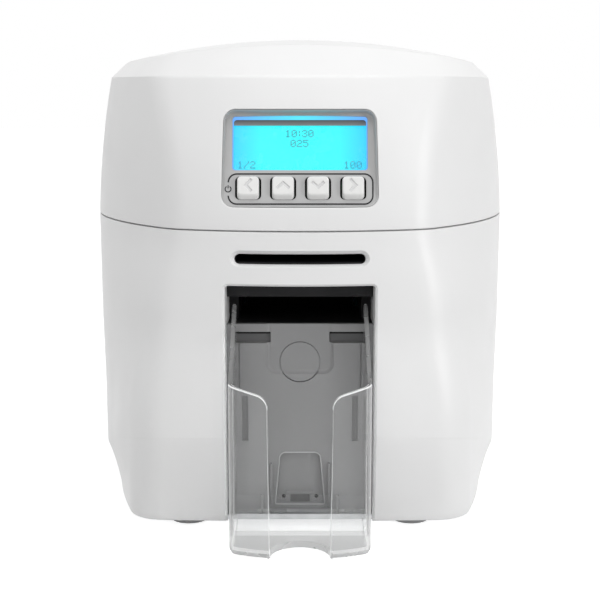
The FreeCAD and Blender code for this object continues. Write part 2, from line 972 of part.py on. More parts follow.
def make_base_plate():
    form = case_form(case_wall + fit_gap)
    plate = form.common(case_slab(case_bottom, base_top))
    posts = []
    for x in (board_inner + stand_inset, board_outer - stand_inset):
        for y in (board_front + stand_inset, board_back - stand_inset * 2):
            posts.append(rod_z(x, y, base_top, board_z, stand_radius))
    plate = join([plate] + posts)
    cuts = []
    for x, y in boss_places:
        cuts += pair(rod_z(x, y, case_bottom - overrun, base_top + overrun, screw_radius + running_gap))
        cuts += pair(rod_z(x, y, case_bottom - overrun, case_bottom + screw_head_height + running_gap,
                           screw_head_radius + fit_gap))
    return carve(plate, cuts)


def make_rubber_feet():
    feet = []
    for x, y in foot_places:
        feet += pair(rod_z(x, y, 0, case_bottom, foot_radius))
    return group(feet)


def make_case_screws():
    screws = []
    for x, y in boss_places:
        head = rod_z(x, y, case_bottom, case_bottom + screw_head_height, screw_head_radius)
        cross = block(x - screw_radius, x + screw_radius, y - fit_gap, y + fit_gap, case_bottom,
                      case_bottom + screw_head_height / 2)
        shank = rod_z(x, y, case_bottom, case_bottom + screw_length, screw_radius)
        screws += pair(head.fuse(shank).cut(cross))
    return group(screws)


def make_slot_guide():
    z0 = slot_z - slot_half_height - guide_wall
    z1 = slot_z + slot_half_height + guide_wall
    body = block(-guide_half, guide_half, 0, guide_back, z0, z1).common(case_form(case_wall + seat_gap))
    ears = block(-plate_inner, plate_inner, plate_front, guide_back, z0, z1)
    mouth = block(-slot_half, slot_half, 0, guide_back + overrun, slot_z - slot_half_height,
                  slot_z + slot_half_height)
    return body.fuse(ears).cut(mouth)


def make_exit_chute():
    floor_top = stack_plate_top - chute_wall
    floor_low = floor_top - chute_wall
    plate_back_face = stack_plate_front + stack_plate_thick + seat_gap
    outer_half = chute_half + chute_wall
    mouth_half = bay_half - fit_gap
    floor = block(-mouth_half, mouth_half, plate_back_face, bay_wall_back, floor_low, floor_top)
    deep_floor = block(-outer_half, outer_half, bay_wall_back, chute_back, floor_low, floor_top)
    roof = block(-mouth_half, mouth_half, chute_bar_front, bay_wall_back, chute_top, chute_top + chute_wall)
    deep_roof = block(-outer_half, outer_half, bay_wall_back, chute_back, chute_top, chute_top + chute_wall)
    bar = block(-mouth_half, mouth_half, chute_bar_front, chute_bar_back, chute_top, bay_top - fit_gap)
    walls = pair(block(chute_half, outer_half, bay_wall_back - chute_wall, chute_back, floor_low,
                       chute_top + chute_wall))
    flanges = pair(block(chute_half, mouth_half, bay_wall_back - chute_wall, bay_wall_back, floor_low,
                         bay_top - fit_gap))
    ears = pair(block(chute_half, plate_inner, chute_ear_front, chute_back, floor_low,
                      floor_low + chute_ear_height))
    mouth = join([floor, roof, bar] + flanges).common(bay_pocket(-fit_gap))
    return join([mouth, deep_floor, deep_roof] + walls + ears)


def make_stacker_back_plate():
    y0 = stack_plate_front
    y1 = y0 + stack_plate_thick
    half = bay_half - fit_gap
    plate = block(-half, half, y0, y1, base_top, stack_plate_top)
    ribs = []
    for x, z0, z1 in rib_places:
        ribs += pair(block(x, x + rib_width, y0 - rib_height, y0 + rib_height, z0, z1))
    plate = join([plate] + ribs)
    before = y0 - overrun
    cuts = pair(block(hanger_inner, hanger_outer, before, y1 + overrun, hanger_low, hanger_high))
    thumb_top = stack_plate_top + thumb_corner * 2
    cuts.append(rounded_y(-thumb_half, thumb_half, thumb_low, thumb_top, before, y0 + thumb_depth, thumb_corner))
    ring_floor = y0 + thumb_depth + ring_depth
    ring = rod_y(0, ring_z, before, ring_floor, ring_radius + ring_width / 2)
    cuts.append(ring.cut(rod_y(0, ring_z, before, ring_floor, ring_radius - ring_width / 2)))
    cuts += pair(block(rail_inner, rail_outer, before, y1 + overrun, rail_low, rail_high))
    cuts += pair(block(line_x, line_x + line_width, before, y0 + ring_depth, line_low, line_high))
    pocket = [(-pocket_half, pocket_low), (pocket_half, pocket_low), (pocket_half, pocket_shoulder),
              (pocket_top_half, pocket_top), (-pocket_top_half, pocket_top), (-pocket_half, pocket_shoulder)]
    cuts.append(prism_y(pocket, before, y0 + pocket_depth))
    cuts.append(block(-window_half, window_half, before, y1 + overrun, window_low, window_high))
    cuts += pair(rod_y(pin_hole_x, pin_hole_z, before, y1 + overrun, pin_hole_radius))
    return carve(plate, cuts)


# Output tray

def tray_front_arc(z, offset, half):
    """Bowed line of the tray's front, drawn back by an offset, between two sides."""
    radius = (tray_half ** 2 + tray_bow ** 2) / (2 * tray_bow)
    centre_y = tray_side_front - tray_bow + radius
    reach = radius - offset
    end_y = centre_y - math.sqrt(reach ** 2 - half ** 2)
    return Part.Arc(Vec(-half, end_y, z), Vec(0, centre_y - reach, z), Vec(half, end_y, z)), end_y


def tray_plan(z, offset, corner, back):
    """Outline of the tray seen from above: bowed front, rounded front corners and square back."""
    half = tray_half - offset
    radius = (tray_half ** 2 + tray_bow ** 2) / (2 * tray_bow)
    centre_y = tray_side_front - tray_bow + radius
    reach = radius - offset
    corner_x = half - corner
    corner_y = centre_y - math.sqrt((reach - corner) ** 2 - corner_x ** 2)
    corner_c = Vec(corner_x, corner_y, z)
    hub = Vec(0, centre_y, z)
    to_arc = (corner_c - hub).normalize()
    arc_end = hub + to_arc * reach
    middle = corner_c + (to_arc + X_AXIS).normalize() * corner
    side_start = Vec(half, corner_y, z)
    back_end = Vec(half, back, z)

    def left(p):
        return Vec(-p.x, p.y, z)

    edges = [Part.Arc(left(arc_end), Vec(0, centre_y - reach, z), arc_end).toShape()]
    edges.append(Part.Arc(arc_end, middle, side_start).toShape())
    edges.append(Part.LineSegment(side_start, back_end).toShape())
    edges.append(Part.LineSegment(back_end, left(back_end)).toShape())
    edges.append(Part.LineSegment(left(back_end), left(side_start)).toShape())
    edges.append(Part.Arc(left(side_start), left(middle), left(arc_end)).toShape())
    return Part.Face(Part.Wire(edges))


def make_stacker_tray():
    top = tray_back_top + overrun
    outer = tray_plan(tray_front_bottom, 0, tray_corner, tray_back).extrude(Z_AXIS * (top - tray_front_bottom))
    inner_corner = tray_corner - tray_wall
    inner = tray_plan(tray_front_bottom, tray_wall, inner_corner, tray_back + overrun)
    inner = inner.extrude(Z_AXIS * (top + overrun - tray_front_bottom))
    front_y = tray_side_front - tray_bow - overrun
    back_y = tray_back + overrun
    floor_top_front = tray_front_bottom + tray_floor_thick
    floor_top_back = tray_low + tray_floor_thick
    under = [(ramp_front, tray_front_bottom - overrun), (ramp_front, tray_front_bottom),
             (ramp_back, tray_low), (back_y, tray_low), (back_y, tray_front_bottom - overrun)]
    above = [(front_y, floor_top_front), (ramp_front, floor_top_front), (ramp_back, floor_top_back),
             (back_y, floor_top_back), (back_y, top + overrun * 2), (front_y, top + overrun * 2)]
    wide = tray_half + overrun
    inner = inner.common(prism_x(above, -wide, wide))
    tray = outer.cut([inner, prism_x(under, -wide, wide)])
    side_top = [(front_y, tray_panel_top), (tray_side_front - tray_wall, tray_panel_top),
                (tray_side_front + tray_corner, tray_front_top), (back_y, tray_back_top),
                (back_y, top + overrun * 2), (front_y, top + overrun * 2)]
    tray = tray.cut(prism_x(side_top, -wide, wide))
    gap = [(-tray_gap_low, floor_top_front), (tray_gap_low, floor_top_front),
           (tray_gap_top, tray_panel_top - tray_panel_corner)]
    gap_left = [(-tray_gap_top, tray_panel_top - tray_panel_corner)]
    opening = prism_y(gap + gap_left, front_y, tray_side_front + tray_bow)
    shoulder_z = tray_panel_top - tray_panel_corner
    shoulder = block(-tray_gap_top - tray_panel_corner, tray_gap_top + tray_panel_corner, front_y,
                     tray_side_front + tray_bow, shoulder_z, top)
    rounds = pair(rod_y(tray_gap_top + tray_panel_corner, shoulder_z, front_y - overrun,
                        tray_side_front + tray_bow + overrun, tray_panel_corner))
    tray = tray.cut([opening, shoulder.cut(rounds)])
    notch = rod_z(0, notch_y, tray_front_bottom - overrun, floor_top_front + overrun, notch_radius)
    notch_mouth = block(-notch_radius, notch_radius, front_y, notch_y, tray_front_bottom - overrun,
                        floor_top_front + overrun)
    return tray.cut([notch, notch_mouth])


# Chassis

def make_side_plate(mirror):
    """Sheet side plate seen from the right, with its bottom flange and shaft holes."""
    low = base_top
    outline = [(plate_nose_y, low), (plate_back, low), (plate_back, plate_rear_top),
               (plate_step_back, plate_rear_top), (plate_step_front, plate_top), (plate_front, plate_top),
               (plate_front, plate_lower_z), (plate_nose_y, plate_lower_z - (plate_nose_y - plate_front))]
    plate = prism_x(outline, plate_inner, plate_outer)
    flange = block(plate_inner, plate_inner + plate_flange, plate_nose_y, plate_back, low, low + plate_thick)
    pieces = [plate, flange]
    cuts = []
    across = (plate_inner - overrun, plate_outer + overrun)
    for y in (front_feed_y, platen_y, rear_feed_y):
        cuts.append(rod_x(across[0], across[1], y, roller_z, bushing_radius + running_gap))
    cuts.append(rod_x(across[0], across[1], pick_y, pick_z, bushing_radius + running_gap))
    small = small_shaft_radius + running_gap
    for y, z in ((front_feed_y, pinch_z), (rear_feed_y, pinch_z), (cleaning_y, cleaning_z), (flap_y, flap_z)):
        cuts.append(rod_x(across[0], across[1], y, z, small))
    if mirror:
        for y, z in motor_stand_places():
            pieces.append(rod_x(plate_inner, motor_face_x, y, z, motor_stand_radius))
    else:
        cuts.append(rod_x(across[0], across[1], pinion_y, pinion_z, ribbon_motor_radius / 2))
    plate = carve(join(pieces), cuts)
    return mirrored(plate) if mirror else plate


def motor_stand_places():
    half = motor_stand_spacing / 2
    return [(motor_y + a * half, motor_z + b * half) for a in (-1, 1) for b in (-1, 1)]


def make_tie_bars():
    return group([rod_x(-plate_inner, plate_inner, y, z, tie_bar_radius) for y, z in tie_bar_places])


def make_roller_bushings():
    rings = []
    places = [(front_feed_y, roller_z), (platen_y, roller_z), (rear_feed_y, roller_z), (pick_y, pick_z)]
    for y, z in places:
        middle = plate_inner + plate_thick / 2
        ring = rod_x(middle - bushing_half, middle + bushing_half, y, z, bushing_radius)
        collar = rod_x(middle - bushing_half, plate_inner - running_gap, y, z, bushing_radius + bushing_collar)
        hole = rod_x(plate_inner - overrun * 2, plate_outer + overrun * 2, y, z, shaft_radius + running_gap)
        rings += pair(ring.fuse(collar).cut(hole))
    return group(rings)


def pulley(x0, width, y, z, radius):
    """Toothless belt pulley on the left, its near flange at x0 and the belt run outside it."""
    drum = rod_x(-x0 - width - pulley_flange, -x0 + pulley_flange, y, z, radius)
    near = rod_x(-x0 + pulley_rim, -x0 + pulley_flange, y, z, radius + pulley_flange + belt_thick)
    far = rod_x(-x0 - width - pulley_flange, -x0 - width - pulley_rim, y, z,
                radius + pulley_flange + belt_thick)
    return [drum, near, far]


def shaft_with_hubs(y, z, left_end, radius):
    shaft = rod_x(-left_end, shaft_right_end, y, z, radius)
    hubs = rod_x(-roller_half - roller_hub_reach, roller_half + roller_hub_reach, y, z, roller_hub_radius)
    return [shaft, hubs]


def make_feed_roller(y):
    tyre = rod_x(-roller_half, roller_half, y, roller_z, roller_radius)
    end = feed_belt_x + feed_belt_width + pulley_flange
    pieces = shaft_with_hubs(y, roller_z, end, shaft_radius)
    return join([tyre] + pieces + pulley(feed_belt_x, feed_belt_width, y, roller_z, feed_pulley_radius))


def make_platen_shaft():
    end = motor_belt_x + motor_belt_width + pulley_flange
    pieces = shaft_with_hubs(platen_y, roller_z, end, shaft_radius)
    pieces += pulley(feed_belt_x, feed_belt_width, platen_y, roller_z, feed_pulley_radius)
    pieces += pulley(motor_belt_x, motor_belt_width, platen_y, roller_z, platen_pulley_radius)
    return join(pieces)


def make_platen_roller():
    tyre = rod_x(-roller_half, roller_half, platen_y, roller_z, roller_radius)
    bore = rod_x(-roller_half - overrun, roller_half + overrun, platen_y, roller_z, roller_hub_radius)
    return tyre.cut(bore)


def make_small_roller(y, z, radius):
    tyre = rod_x(-roller_half, roller_half, y, z, radius)
    reach = plate_outer
    shaft = rod_x(-reach, reach, y, z, small_shaft_radius)
    return tyre.fuse(shaft)


def make_pick_roller():
    tyres = pair(rod_x(roller_half / 4, roller_half * 3 / 4, pick_y, pick_z, roller_radius))
    shaft = rod_x(-shaft_right_end, shaft_right_end, pick_y, pick_z, shaft_radius)
    return join(tyres + [shaft])


def make_motor_pulley():
    pieces = pulley(motor_belt_x, motor_belt_width, motor_y, motor_z, motor_pulley_radius)
    bore = rod_x(-motor_face_x, -plate_outer, motor_y, motor_z, motor_shaft_radius + running_gap)
    return join(pieces).cut(bore)


def make_drive_motor():
    half = motor_side / 2
    y0, y1 = motor_y - half, motor_y + half
    z0, z1 = motor_z - half, motor_z + half
    face = motor_face_x + motor_boss_height
    can = rounded_x(y0, y1, z0, z1, -face - motor_length, -face, motor_corner)
    boss = rod_x(-face, -motor_face_x, motor_y, motor_z, motor_boss_radius)
    pads = [rod_x(-face, -motor_face_x, y, z, motor_stand_radius) for y, z in motor_stand_places()]
    shaft = rod_x(-motor_face_x - overrun, -motor_belt_x + overrun, motor_y, motor_z, motor_shaft_radius)
    return join([can, boss, shaft] + pads)


def tangent_loop(a, ra, b, rb, x):
    """Closed line around two circles in a plane across X."""
    link_y = b[0] - a[0]
    link_z = b[1] - a[1]
    length = math.hypot(link_y, link_z)
    heading = math.atan2(link_z, link_y)
    spread = math.acos((ra - rb) / length)

    def on(centre, radius, angle):
        return Vec(x, centre[0] + radius * math.cos(angle), centre[1] + radius * math.sin(angle))

    upper = heading + spread
    lower = heading - spread
    edges = [Part.LineSegment(on(a, ra, upper), on(b, rb, upper)).toShape()]
    edges.append(Part.Arc(on(b, rb, upper), on(b, rb, heading), on(b, rb, lower)).toShape())
    edges.append(Part.LineSegment(on(b, rb, lower), on(a, ra, lower)).toShape())
    edges.append(Part.Arc(on(a, ra, lower), on(a, ra, heading + math.pi), on(a, ra, upper)).toShape())
    return Part.Face(Part.Wire(edges))


def make_belt(a, ra, b, rb, x0, width):
    inner = tangent_loop(a, ra + fit_gap, b, rb + fit_gap, -x0 - width)
    outer = tangent_loop(a, ra + fit_gap + belt_thick, b, rb + fit_gap + belt_thick, -x0 - width)
    return outer.cut(inner).extrude(X_AXIS * width)


def make_card_guides():
    top = card_top - card_clearance - guide_sheet_drop / 2
    sheets = []
    for y0, y1 in guide_sheet_spans:
        sheets.append(block(-plate_inner, plate_inner, y0, y1, top - guide_sheet, top))
    return group(sheets)


def make_diverter_flap():
    tip = (flap_tip_y, flap_tip_z)
    run_y = flap_y - flap_tip_y
    run_z = flap_tip_z - flap_z
    length = math.hypot(run_y, run_z)
    side = (flap_thick * run_z / length, flap_thick * run_y / length)
    blade = prism_x([(flap_y, flap_z), tip, (tip[0] - side[0], tip[1] - side[1]),
                     (flap_y - side[0], flap_z - side[1])], -flap_half, flap_half)
    hub = rod_x(-flap_half, flap_half, flap_y, flap_z, flap_hub_radius)
    shaft = rod_x(-plate_outer, plate_outer, flap_y, flap_z, small_shaft_radius)
    return join([blade, hub, shaft])


# Card hopper

def make_hopper_frame():
    outer = hopper_half + hopper_wall
    floor_top = hopper_floor_z + hopper_floor_thick
    floor = block(-plate_inner, plate_inner, hopper_front, hopper_back, hopper_floor_z, floor_top)
    front = block(-outer, outer, hopper_front, hopper_front + hopper_wall, hopper_floor_z, hopper_gate_z)
    walls = pair(block(hopper_half, outer, hopper_front, hopper_back, hopper_floor_z, hopper_gate_z))
    return join([floor, front] + walls)


def tangent_arc(start, knee, end):
    """Arc between two points, tangent to the lines that run from them to the knee."""
    chord = end - start
    middle = start + chord * (1 / 2)
    lean = (knee - start).getAngle(chord)
    rise = chord.Length / 2 * math.tan(lean / 2)
    return Part.Arc(start, middle + (knee - middle).normalize() * rise, end).toShape()


def biarc(start, start_way, end, end_way):
    """Two tangent arcs from one point and heading to another."""
    link = end - start
    ways = start_way + end_way
    spread = 2 * (1 - start_way.dot(end_way))
    push = link.dot(ways)
    reach = (-push + math.sqrt(push ** 2 + spread * link.dot(link))) / spread
    first_knee = start + start_way * reach
    last_knee = end - end_way * reach
    joint = (first_knee + last_knee) * (1 / 2)
    return [tangent_arc(start, first_knee, joint), tangent_arc(joint, last_knee, end)]


def coil(radius, wire, turns, x, y, z0, z1):
    """Round-wire coil spring standing between two heights."""
    climb = z1 - z0 - wire
    spin = 2 * math.pi * turns
    steps = turns * coil_arcs_per_turn

    def at(share):
        turn = spin * share
        return Vec(x + radius * math.cos(turn), y + radius * math.sin(turn), z0 + wire / 2 + climb * share)

    def way(share):
        turn = spin * share
        return Vec(-radius * spin * math.sin(turn), radius * spin * math.cos(turn), climb).normalize()

    edges = []
    for i in range(steps):
        edges += biarc(at(i / steps), way(i / steps), at((i + 1) / steps), way((i + 1) / steps))
    section = Part.Wire(Part.makeCircle(wire / 2, at(0), way(0)))
    print("spring gap between turns", round(climb / turns - wire, 2))
    return Part.Wire(edges).makePipeShell([section], True, False)


def make_lift_plate():
    plate = block(-lift_half, lift_half, lift_front, lift_back, lift_top - lift_thick, lift_top)
    seat = rod_z(0, spring_y, spring_top, lift_top - lift_thick, spring_radius + spring_wire)
    return plate.fuse(seat)


def door_form(grow):
    return block(-door_half + door_gap - grow, door_half - door_gap + grow, body_back - case_wall,
                 body_back, door_low + door_gap, door_high - door_gap)


def make_hopper_door():
    door = door_form(0)
    x0 = door_knuckle_inner + door_knuckle_length + knuckle_gap
    x1 = door_knuckle_outer - knuckle_gap
    barrels = pair(knuckle(x0, x1, door_axis_y, door_low, door_barrel_radius, door_low + door_gap,
                           door_low + door_barrel_radius * 2, body_back - case_wall / 2))
    door = join([door] + barrels)
    pull = rounded_y(-door_pull_half, door_pull_half, door_high - door_gap - door_pull_height,
                     door_high + door_pull_height, body_back - door_pull_depth, body_back + overrun,
                     door_pull_height / 2)
    hole = pair(rod_x(door_knuckle_inner, door_knuckle_outer, door_axis_y, door_low, pin_radius + running_gap))
    ribs = []
    rib_step = (door_high - door_low) / 12
    for i in range(5):
        z = door_low + rib_step * (i + 2)
        ribs.append(block(-door_half / 2, door_half / 2, body_back - door_gap, body_back + overrun,
                          z, z + door_gap * 2))
    return carve(door, [pull] + hole + ribs)


def make_hinge_pins():
    pins = pair(rod_x(hinge_inner, hinge_outer, hinge_y, seam_z, hinge_pin_radius))
    end = door_knuckle_outer + door_knuckle_length
    pins += pair(rod_x(door_knuckle_inner, end, door_axis_y, door_low, pin_radius))
    return group(pins)


# Circuit board, sockets and fan

def make_main_board():
    board = block(board_inner, board_outer, board_front, board_back, board_z, board_z + board_thick)
    return board


def board_top():
    return board_z + board_thick


def on_board(across_share, along_share):
    """Place on the board, as shares of its width and of its length from the front."""
    x = board_inner + (board_outer - board_inner) * across_share
    return x, board_front + (board_back - board_front) * along_share


def make_board_parts():
    parts = []
    width = board_outer - board_inner
    for across_share, along_share, half_share, height_share in chip_shares:
        x, y = on_board(across_share, along_share)
        half = width * half_share
        height = width * height_share
        parts.append(block(x - half, x + half, y - half, y + half, board_top(), board_top() + height))
    for across_share, along_share in can_shares:
        x, y = on_board(across_share, along_share)
        parts.append(rod_z(x, y, board_top(), board_top() + can_height, can_radius))
    return group(parts)


def socket_shell(x, half, height, length):
    return block(x - half, x + half, socket_reach - length, socket_reach, board_top(), board_top() + height)


def make_usb_socket():
    shell = socket_shell(usb_x, usb_half, usb_height, usb_length)
    top = board_top()
    mouth = block(usb_x - usb_half + socket_wall, usb_x + usb_half - socket_wall,
                  socket_reach - usb_length / 2, socket_reach + overrun, top + socket_wall,
                  top + usb_height - socket_wall)
    tongue = block(usb_x - usb_half / 2, usb_x + usb_half / 2, socket_reach - usb_length / 2 - socket_wall,
                   socket_reach - socket_wall, top + usb_height / 2 - socket_wall,
                   top + usb_height / 2 + socket_wall)
    return shell.cut(mouth).fuse(tongue)


def make_network_socket():
    shell = socket_shell(network_x, network_half, network_height, network_length)
    top = board_top()
    wide = network_half - socket_wall * 2
    mouth = block(network_x - wide, network_x + wide, socket_reach - network_length / 2,
                  socket_reach + overrun, top + socket_wall * 2, top + network_height - socket_wall * 2)
    catch = block(network_x - wide / 3, network_x + wide / 3, socket_reach - network_length / 2,
                  socket_reach + overrun, top + socket_wall, top + socket_wall * 3)
    return shell.cut([mouth, catch])


def make_power_inlet():
    shell = socket_shell(inlet_x, inlet_half, inlet_height, inlet_length)
    z = board_top() + inlet_height / 2
    hole = rod_y(inlet_x, z, socket_reach - inlet_length + socket_wall, socket_reach + overrun,
                 inlet_hole_radius)
    pin = rod_y(inlet_x, z, socket_reach - inlet_length, socket_reach - socket_wall, inlet_pin_radius)
    return shell.cut(hole).fuse(pin)


def make_fan_frame():
    half = fan_side / 2
    front = fan_back - fan_depth
    frame = rounded_y(fan_x - half, fan_x + half, fan_z - half, fan_z + half, front, fan_back, fan_corner)
    bore = rod_y(fan_x, fan_z, front - overrun, fan_back + overrun, fan_bore_radius)
    frame = frame.cut(bore)
    strut_back = front + fan_strut / 2
    reach = fan_bore_radius + fan_strut / 4
    struts = [block(fan_x - reach, fan_x + reach, front, strut_back,
                    fan_z - fan_strut / 2, fan_z + fan_strut / 2)]
    struts.append(block(fan_x - fan_strut / 2, fan_x + fan_strut / 2, front, strut_back,
                        fan_z - reach, fan_z + reach))
    struts.append(rod_y(fan_x, fan_z, front, strut_back, fan_hub_radius))
    struts.append(rod_y(fan_x, fan_z, front, fan_back - fan_strut, fan_pin_radius))
    return join([frame] + struts)


def make_fan_rotor():
    front = fan_back - fan_depth + fan_strut
    back = fan_back - fan_strut / 2
    hub = rod_y(fan_x, fan_z, front, back, fan_hub_radius)
    blades = []
    for i in range(fan_blades):
        blade = block(fan_x, fan_x + fan_blade_radius, front + fan_blade_thick, back - fan_blade_thick,
                      fan_z - fan_blade_thick / 2, fan_z + fan_blade_thick / 2)
        blade.rotate(Vec(fan_x, (front + back) / 2, fan_z), X_AXIS, fan_blade_turn)
        blade.rotate(Vec(fan_x, 0, fan_z), Y_AXIS, 360 * i / fan_blades)
        blades.append(blade)
    rotor = join([hub] + blades)
    bore = rod_y(fan_x, fan_z, front - overrun, fan_back - fan_strut + fan_strut / 4, fan_pin_radius + running_gap)
    slab = rod_y(fan_x, fan_z, front, back, fan_blade_radius)
    return rotor.cut(bore).common(slab)


# Ribbon cassette and its drive

def make_ribbon_frame():
    x0 = cassette_half
    x1 = cassette_half + cassette_wall
    cheek = rounded_x(cassette_front, cassette_back, cassette_low, cassette_top, x0, x1, cassette_wall * 2)
    flange = block(x0, x0 + cassette_flange, cassette_front + cassette_wall * 2, cassette_flange_back,
                   cassette_low, cassette_low + cassette_flange_thick)
    cheek = cheek.fuse(flange)
    arch_z = cassette_low
    cuts = [rod_x(x0 - overrun, x1 + overrun, y, spool_z, spool_pin_radius + running_gap)
            for y in (supply_y, takeup_y)]
    cuts.append(rod_x(x0 - overrun, x0 + cassette_flange + overrun, platen_y, arch_z, cassette_arch_radius))
    cheek = carve(cheek, cuts)
    bars = [rod_x(-x1, x1, y, z, cassette_bar_radius)
            for y, z in ((cassette_front + cassette_bar_radius * 2, cassette_low + cassette_bar_radius * 2),
                         (cassette_back - cassette_bar_radius * 2, cassette_top - cassette_bar_radius * 2))]
    return join(pair(cheek) + bars)


def make_spool(y, roll_radius, right_end):
    roll = rod_x(-film_half, film_half, y, spool_z, roll_radius)
    core = rod_x(-cassette_half + fit_gap, cassette_half - fit_gap, y, spool_z, spool_core_radius)
    pin = rod_x(-cassette_half - cassette_wall, right_end, y, spool_z, spool_pin_radius)
    flanges = pair(rod_x(film_half, film_half + spool_flange, y, spool_z, roll_radius + spool_flange))
    return join([roll, core, pin] + flanges)


def make_ribbon_film():
    """Thin web from the supply roll, flat under the print head, and up to the take-up roll."""
    slack = fit_gap
    lean = math.radians(45)
    start_y = supply_y + (supply_roll_radius + slack) * math.cos(lean) / 2
    start_z = spool_z - (supply_roll_radius + slack) * math.sin(math.acos(math.cos(lean) / 2))
    end_y = takeup_y - (takeup_roll_radius + slack) * math.cos(lean) / 2
    end_z = spool_z - (takeup_roll_radius + slack) * math.sin(math.acos(math.cos(lean) / 2))
    line = [(start_y, start_z), (film_front, film_z), (film_back, film_z), (end_y, end_z)]
    upper = [(y, z + film_thick) for y, z in line]
    return prism_x(line + upper[::-1], -film_half, film_half)


def gear_solid(y, z, teeth, first_angle, x0, width, bore):
    """Spur gear with straight-sided teeth; the first tooth points at the given angle in degrees."""
    pitch_r = gear_module * teeth / 2
    tip_r = pitch_r + gear_module * addendum_share
    root_r = pitch_r - gear_module * dedendum_share
    half_pitch = math.pi * gear_module / 4 - tooth_backlash / 2
    slope = math.tan(math.radians(tooth_slope))
    tip_half = half_pitch - (tip_r - pitch_r) * slope
    root_half = half_pitch + (pitch_r - root_r) * slope
    core = rod_x(x0, x0 + width, y, z, root_r)
    pieces = [core]
    sunk_r = root_r - tooth_backlash
    for i in range(teeth):
        tooth = prism_x([(y + sunk_r, z - root_half), (y + tip_r, z - tip_half),
                         (y + tip_r, z + tip_half), (y + sunk_r, z + root_half)], x0, x0 + width)
        tooth.rotate(Vec(0, y, z), X_AXIS, first_angle + 360 * i / teeth)
        pieces.append(tooth)
    hole = rod_x(x0 - overrun, x0 + width + overrun, y, z, bore)
    return join(pieces).cut(hole)


def make_takeup_gear():
    return gear_solid(takeup_y, spool_z, gear_teeth, gear_direction, gear_x, gear_width, spool_pin_radius)


def make_ribbon_pinion():
    start = gear_direction + 180 + 180 / pinion_teeth
    return gear_solid(pinion_y, pinion_z, pinion_teeth, start, gear_x, gear_width,
                      ribbon_shaft_radius + running_gap)


def make_ribbon_motor():
    can = rod_x(plate_outer, plate_outer + ribbon_motor_length, pinion_y, pinion_z, ribbon_motor_radius)
    shaft = rod_x(gear_x, plate_outer, pinion_y, pinion_z, ribbon_shaft_radius)
    return can.fuse(shaft)


# Lid pieces

def make_lid_shell():
    outer = lid_form(0).cut(case_slab(seam_z - roof_skirt, lid_bottom))
    inner = lid_form(case_wall)
    shell = outer.cut(inner)
    wall = panel_frame_wall
    sleeve_deep = panel_thick + window_thick
    sleeve = panel_block(-panel_half - wall, panel_half + wall, -wall, panel_height + wall, sleeve_deep,
                         body_back, panel_corner + wall)
    pieces = [shell, sleeve.common(outer)]
    inside = lid_form(case_wall / 2)
    for x, y in post_places:
        pieces += pair(rod_z(x, y, frame_z + frame_thick, chamfer_top_z, post_radius).common(inside))
    ear = block(latch_ear_x, latch_ear_x + latch_ear_thick, 0, latch_y + latch_ear_half,
                latch_z - latch_ear_half, latch_z + latch_ear_half)
    pieces += pair(ear.common(inside))
    body = join(pieces)
    x0 = hinge_inner + hinge_knuckle + knuckle_gap
    x1 = hinge_outer - hinge_knuckle - knuckle_gap
    leaf_top = seam_z + hinge_leaf
    wall_face = body_back - case_wall / 2
    body = body.multiFuse(pair(knuckle(x0, x1, hinge_y, seam_z, hinge_barrel_radius,
                                       seam_z + seam_gap / 2, leaf_top, wall_face)))
    cuts = [panel_block(-panel_half, panel_half, 0, panel_height, sleeve_deep + overrun, body_back,
                        panel_corner)]
    cuts += pair(rod_x(x0 - overrun, x1 + overrun, hinge_y, seam_z, hinge_pin_radius + running_gap))
    cuts += pair(rod_x(latch_ear_x - overrun, latch_ear_x + latch_ear_thick + overrun, latch_y, latch_z,
                       latch_shaft_radius + running_gap))
    for x in vent_places:
        cuts += pair(rounded_z(x - vent_width / 2, x + vent_width / 2, vent_front, vent_back,
                               lid_crease_z, chamfer_top_z, vent_width / 2 - fit_gap))
    return carve(body, cuts)


def button_centres():
    return [(i - 1.5) * button_pitch for i in range(4)]


def make_display_bezel():
    side = panel_half - panel_gap
    plate = panel_block(-side, side, panel_gap, panel_height - panel_gap, panel_thick, 0,
                        panel_corner - panel_gap)
    post_v = (button_low + button_high) / 2
    posts = []
    for x in (-button_pitch, 0, button_pitch):
        posts.append(panel_block(x - keypad_post, x + keypad_post, post_v - keypad_post, post_v + keypad_post,
                                 keypad_depth, -panel_thick / 2, keypad_post / 2))
    plate = join([plate] + posts)
    opening = panel_block(-window_opening_half, window_opening_half, window_opening_low,
                          window_opening_high, panel_thick + overrun, overrun, window_corner)
    cuts = [opening]
    hole_half = button_half + button_clearance
    for x in button_centres():
        cuts.append(panel_block(x - hole_half, x + hole_half, button_low - button_clearance,
                                button_high + button_clearance, panel_thick + overrun, overrun,
                                button_corner + button_clearance))
    return carve(plate, cuts)


def make_display_window():
    half = window_opening_half + window_margin
    low = window_opening_low - button_clearance
    high = window_opening_high + window_margin
    deep = panel_thick + window_thick
    return panel_block(-half, half, low, high, deep, -panel_thick, window_corner)


def make_lcd_module():
    face = panel_thick + window_thick + lcd_gap
    screen = panel_block(-lcd_half, lcd_half, lcd_low, lcd_high, face + lcd_thick, -face, window_corner)
    border = panel_block(-lcd_half - lcd_frame, lcd_half + lcd_frame, lcd_low - lcd_frame / 2,
                         lcd_high + lcd_frame, face + lcd_thick, -face - lcd_gap, window_corner)
    return screen.fuse(border)


def make_keypad_board():
    return panel_block(-panel_half + panel_gap, panel_half - panel_gap, keypad_low, keypad_high - lcd_frame,
                       keypad_depth + keypad_thick, -keypad_depth, window_corner)


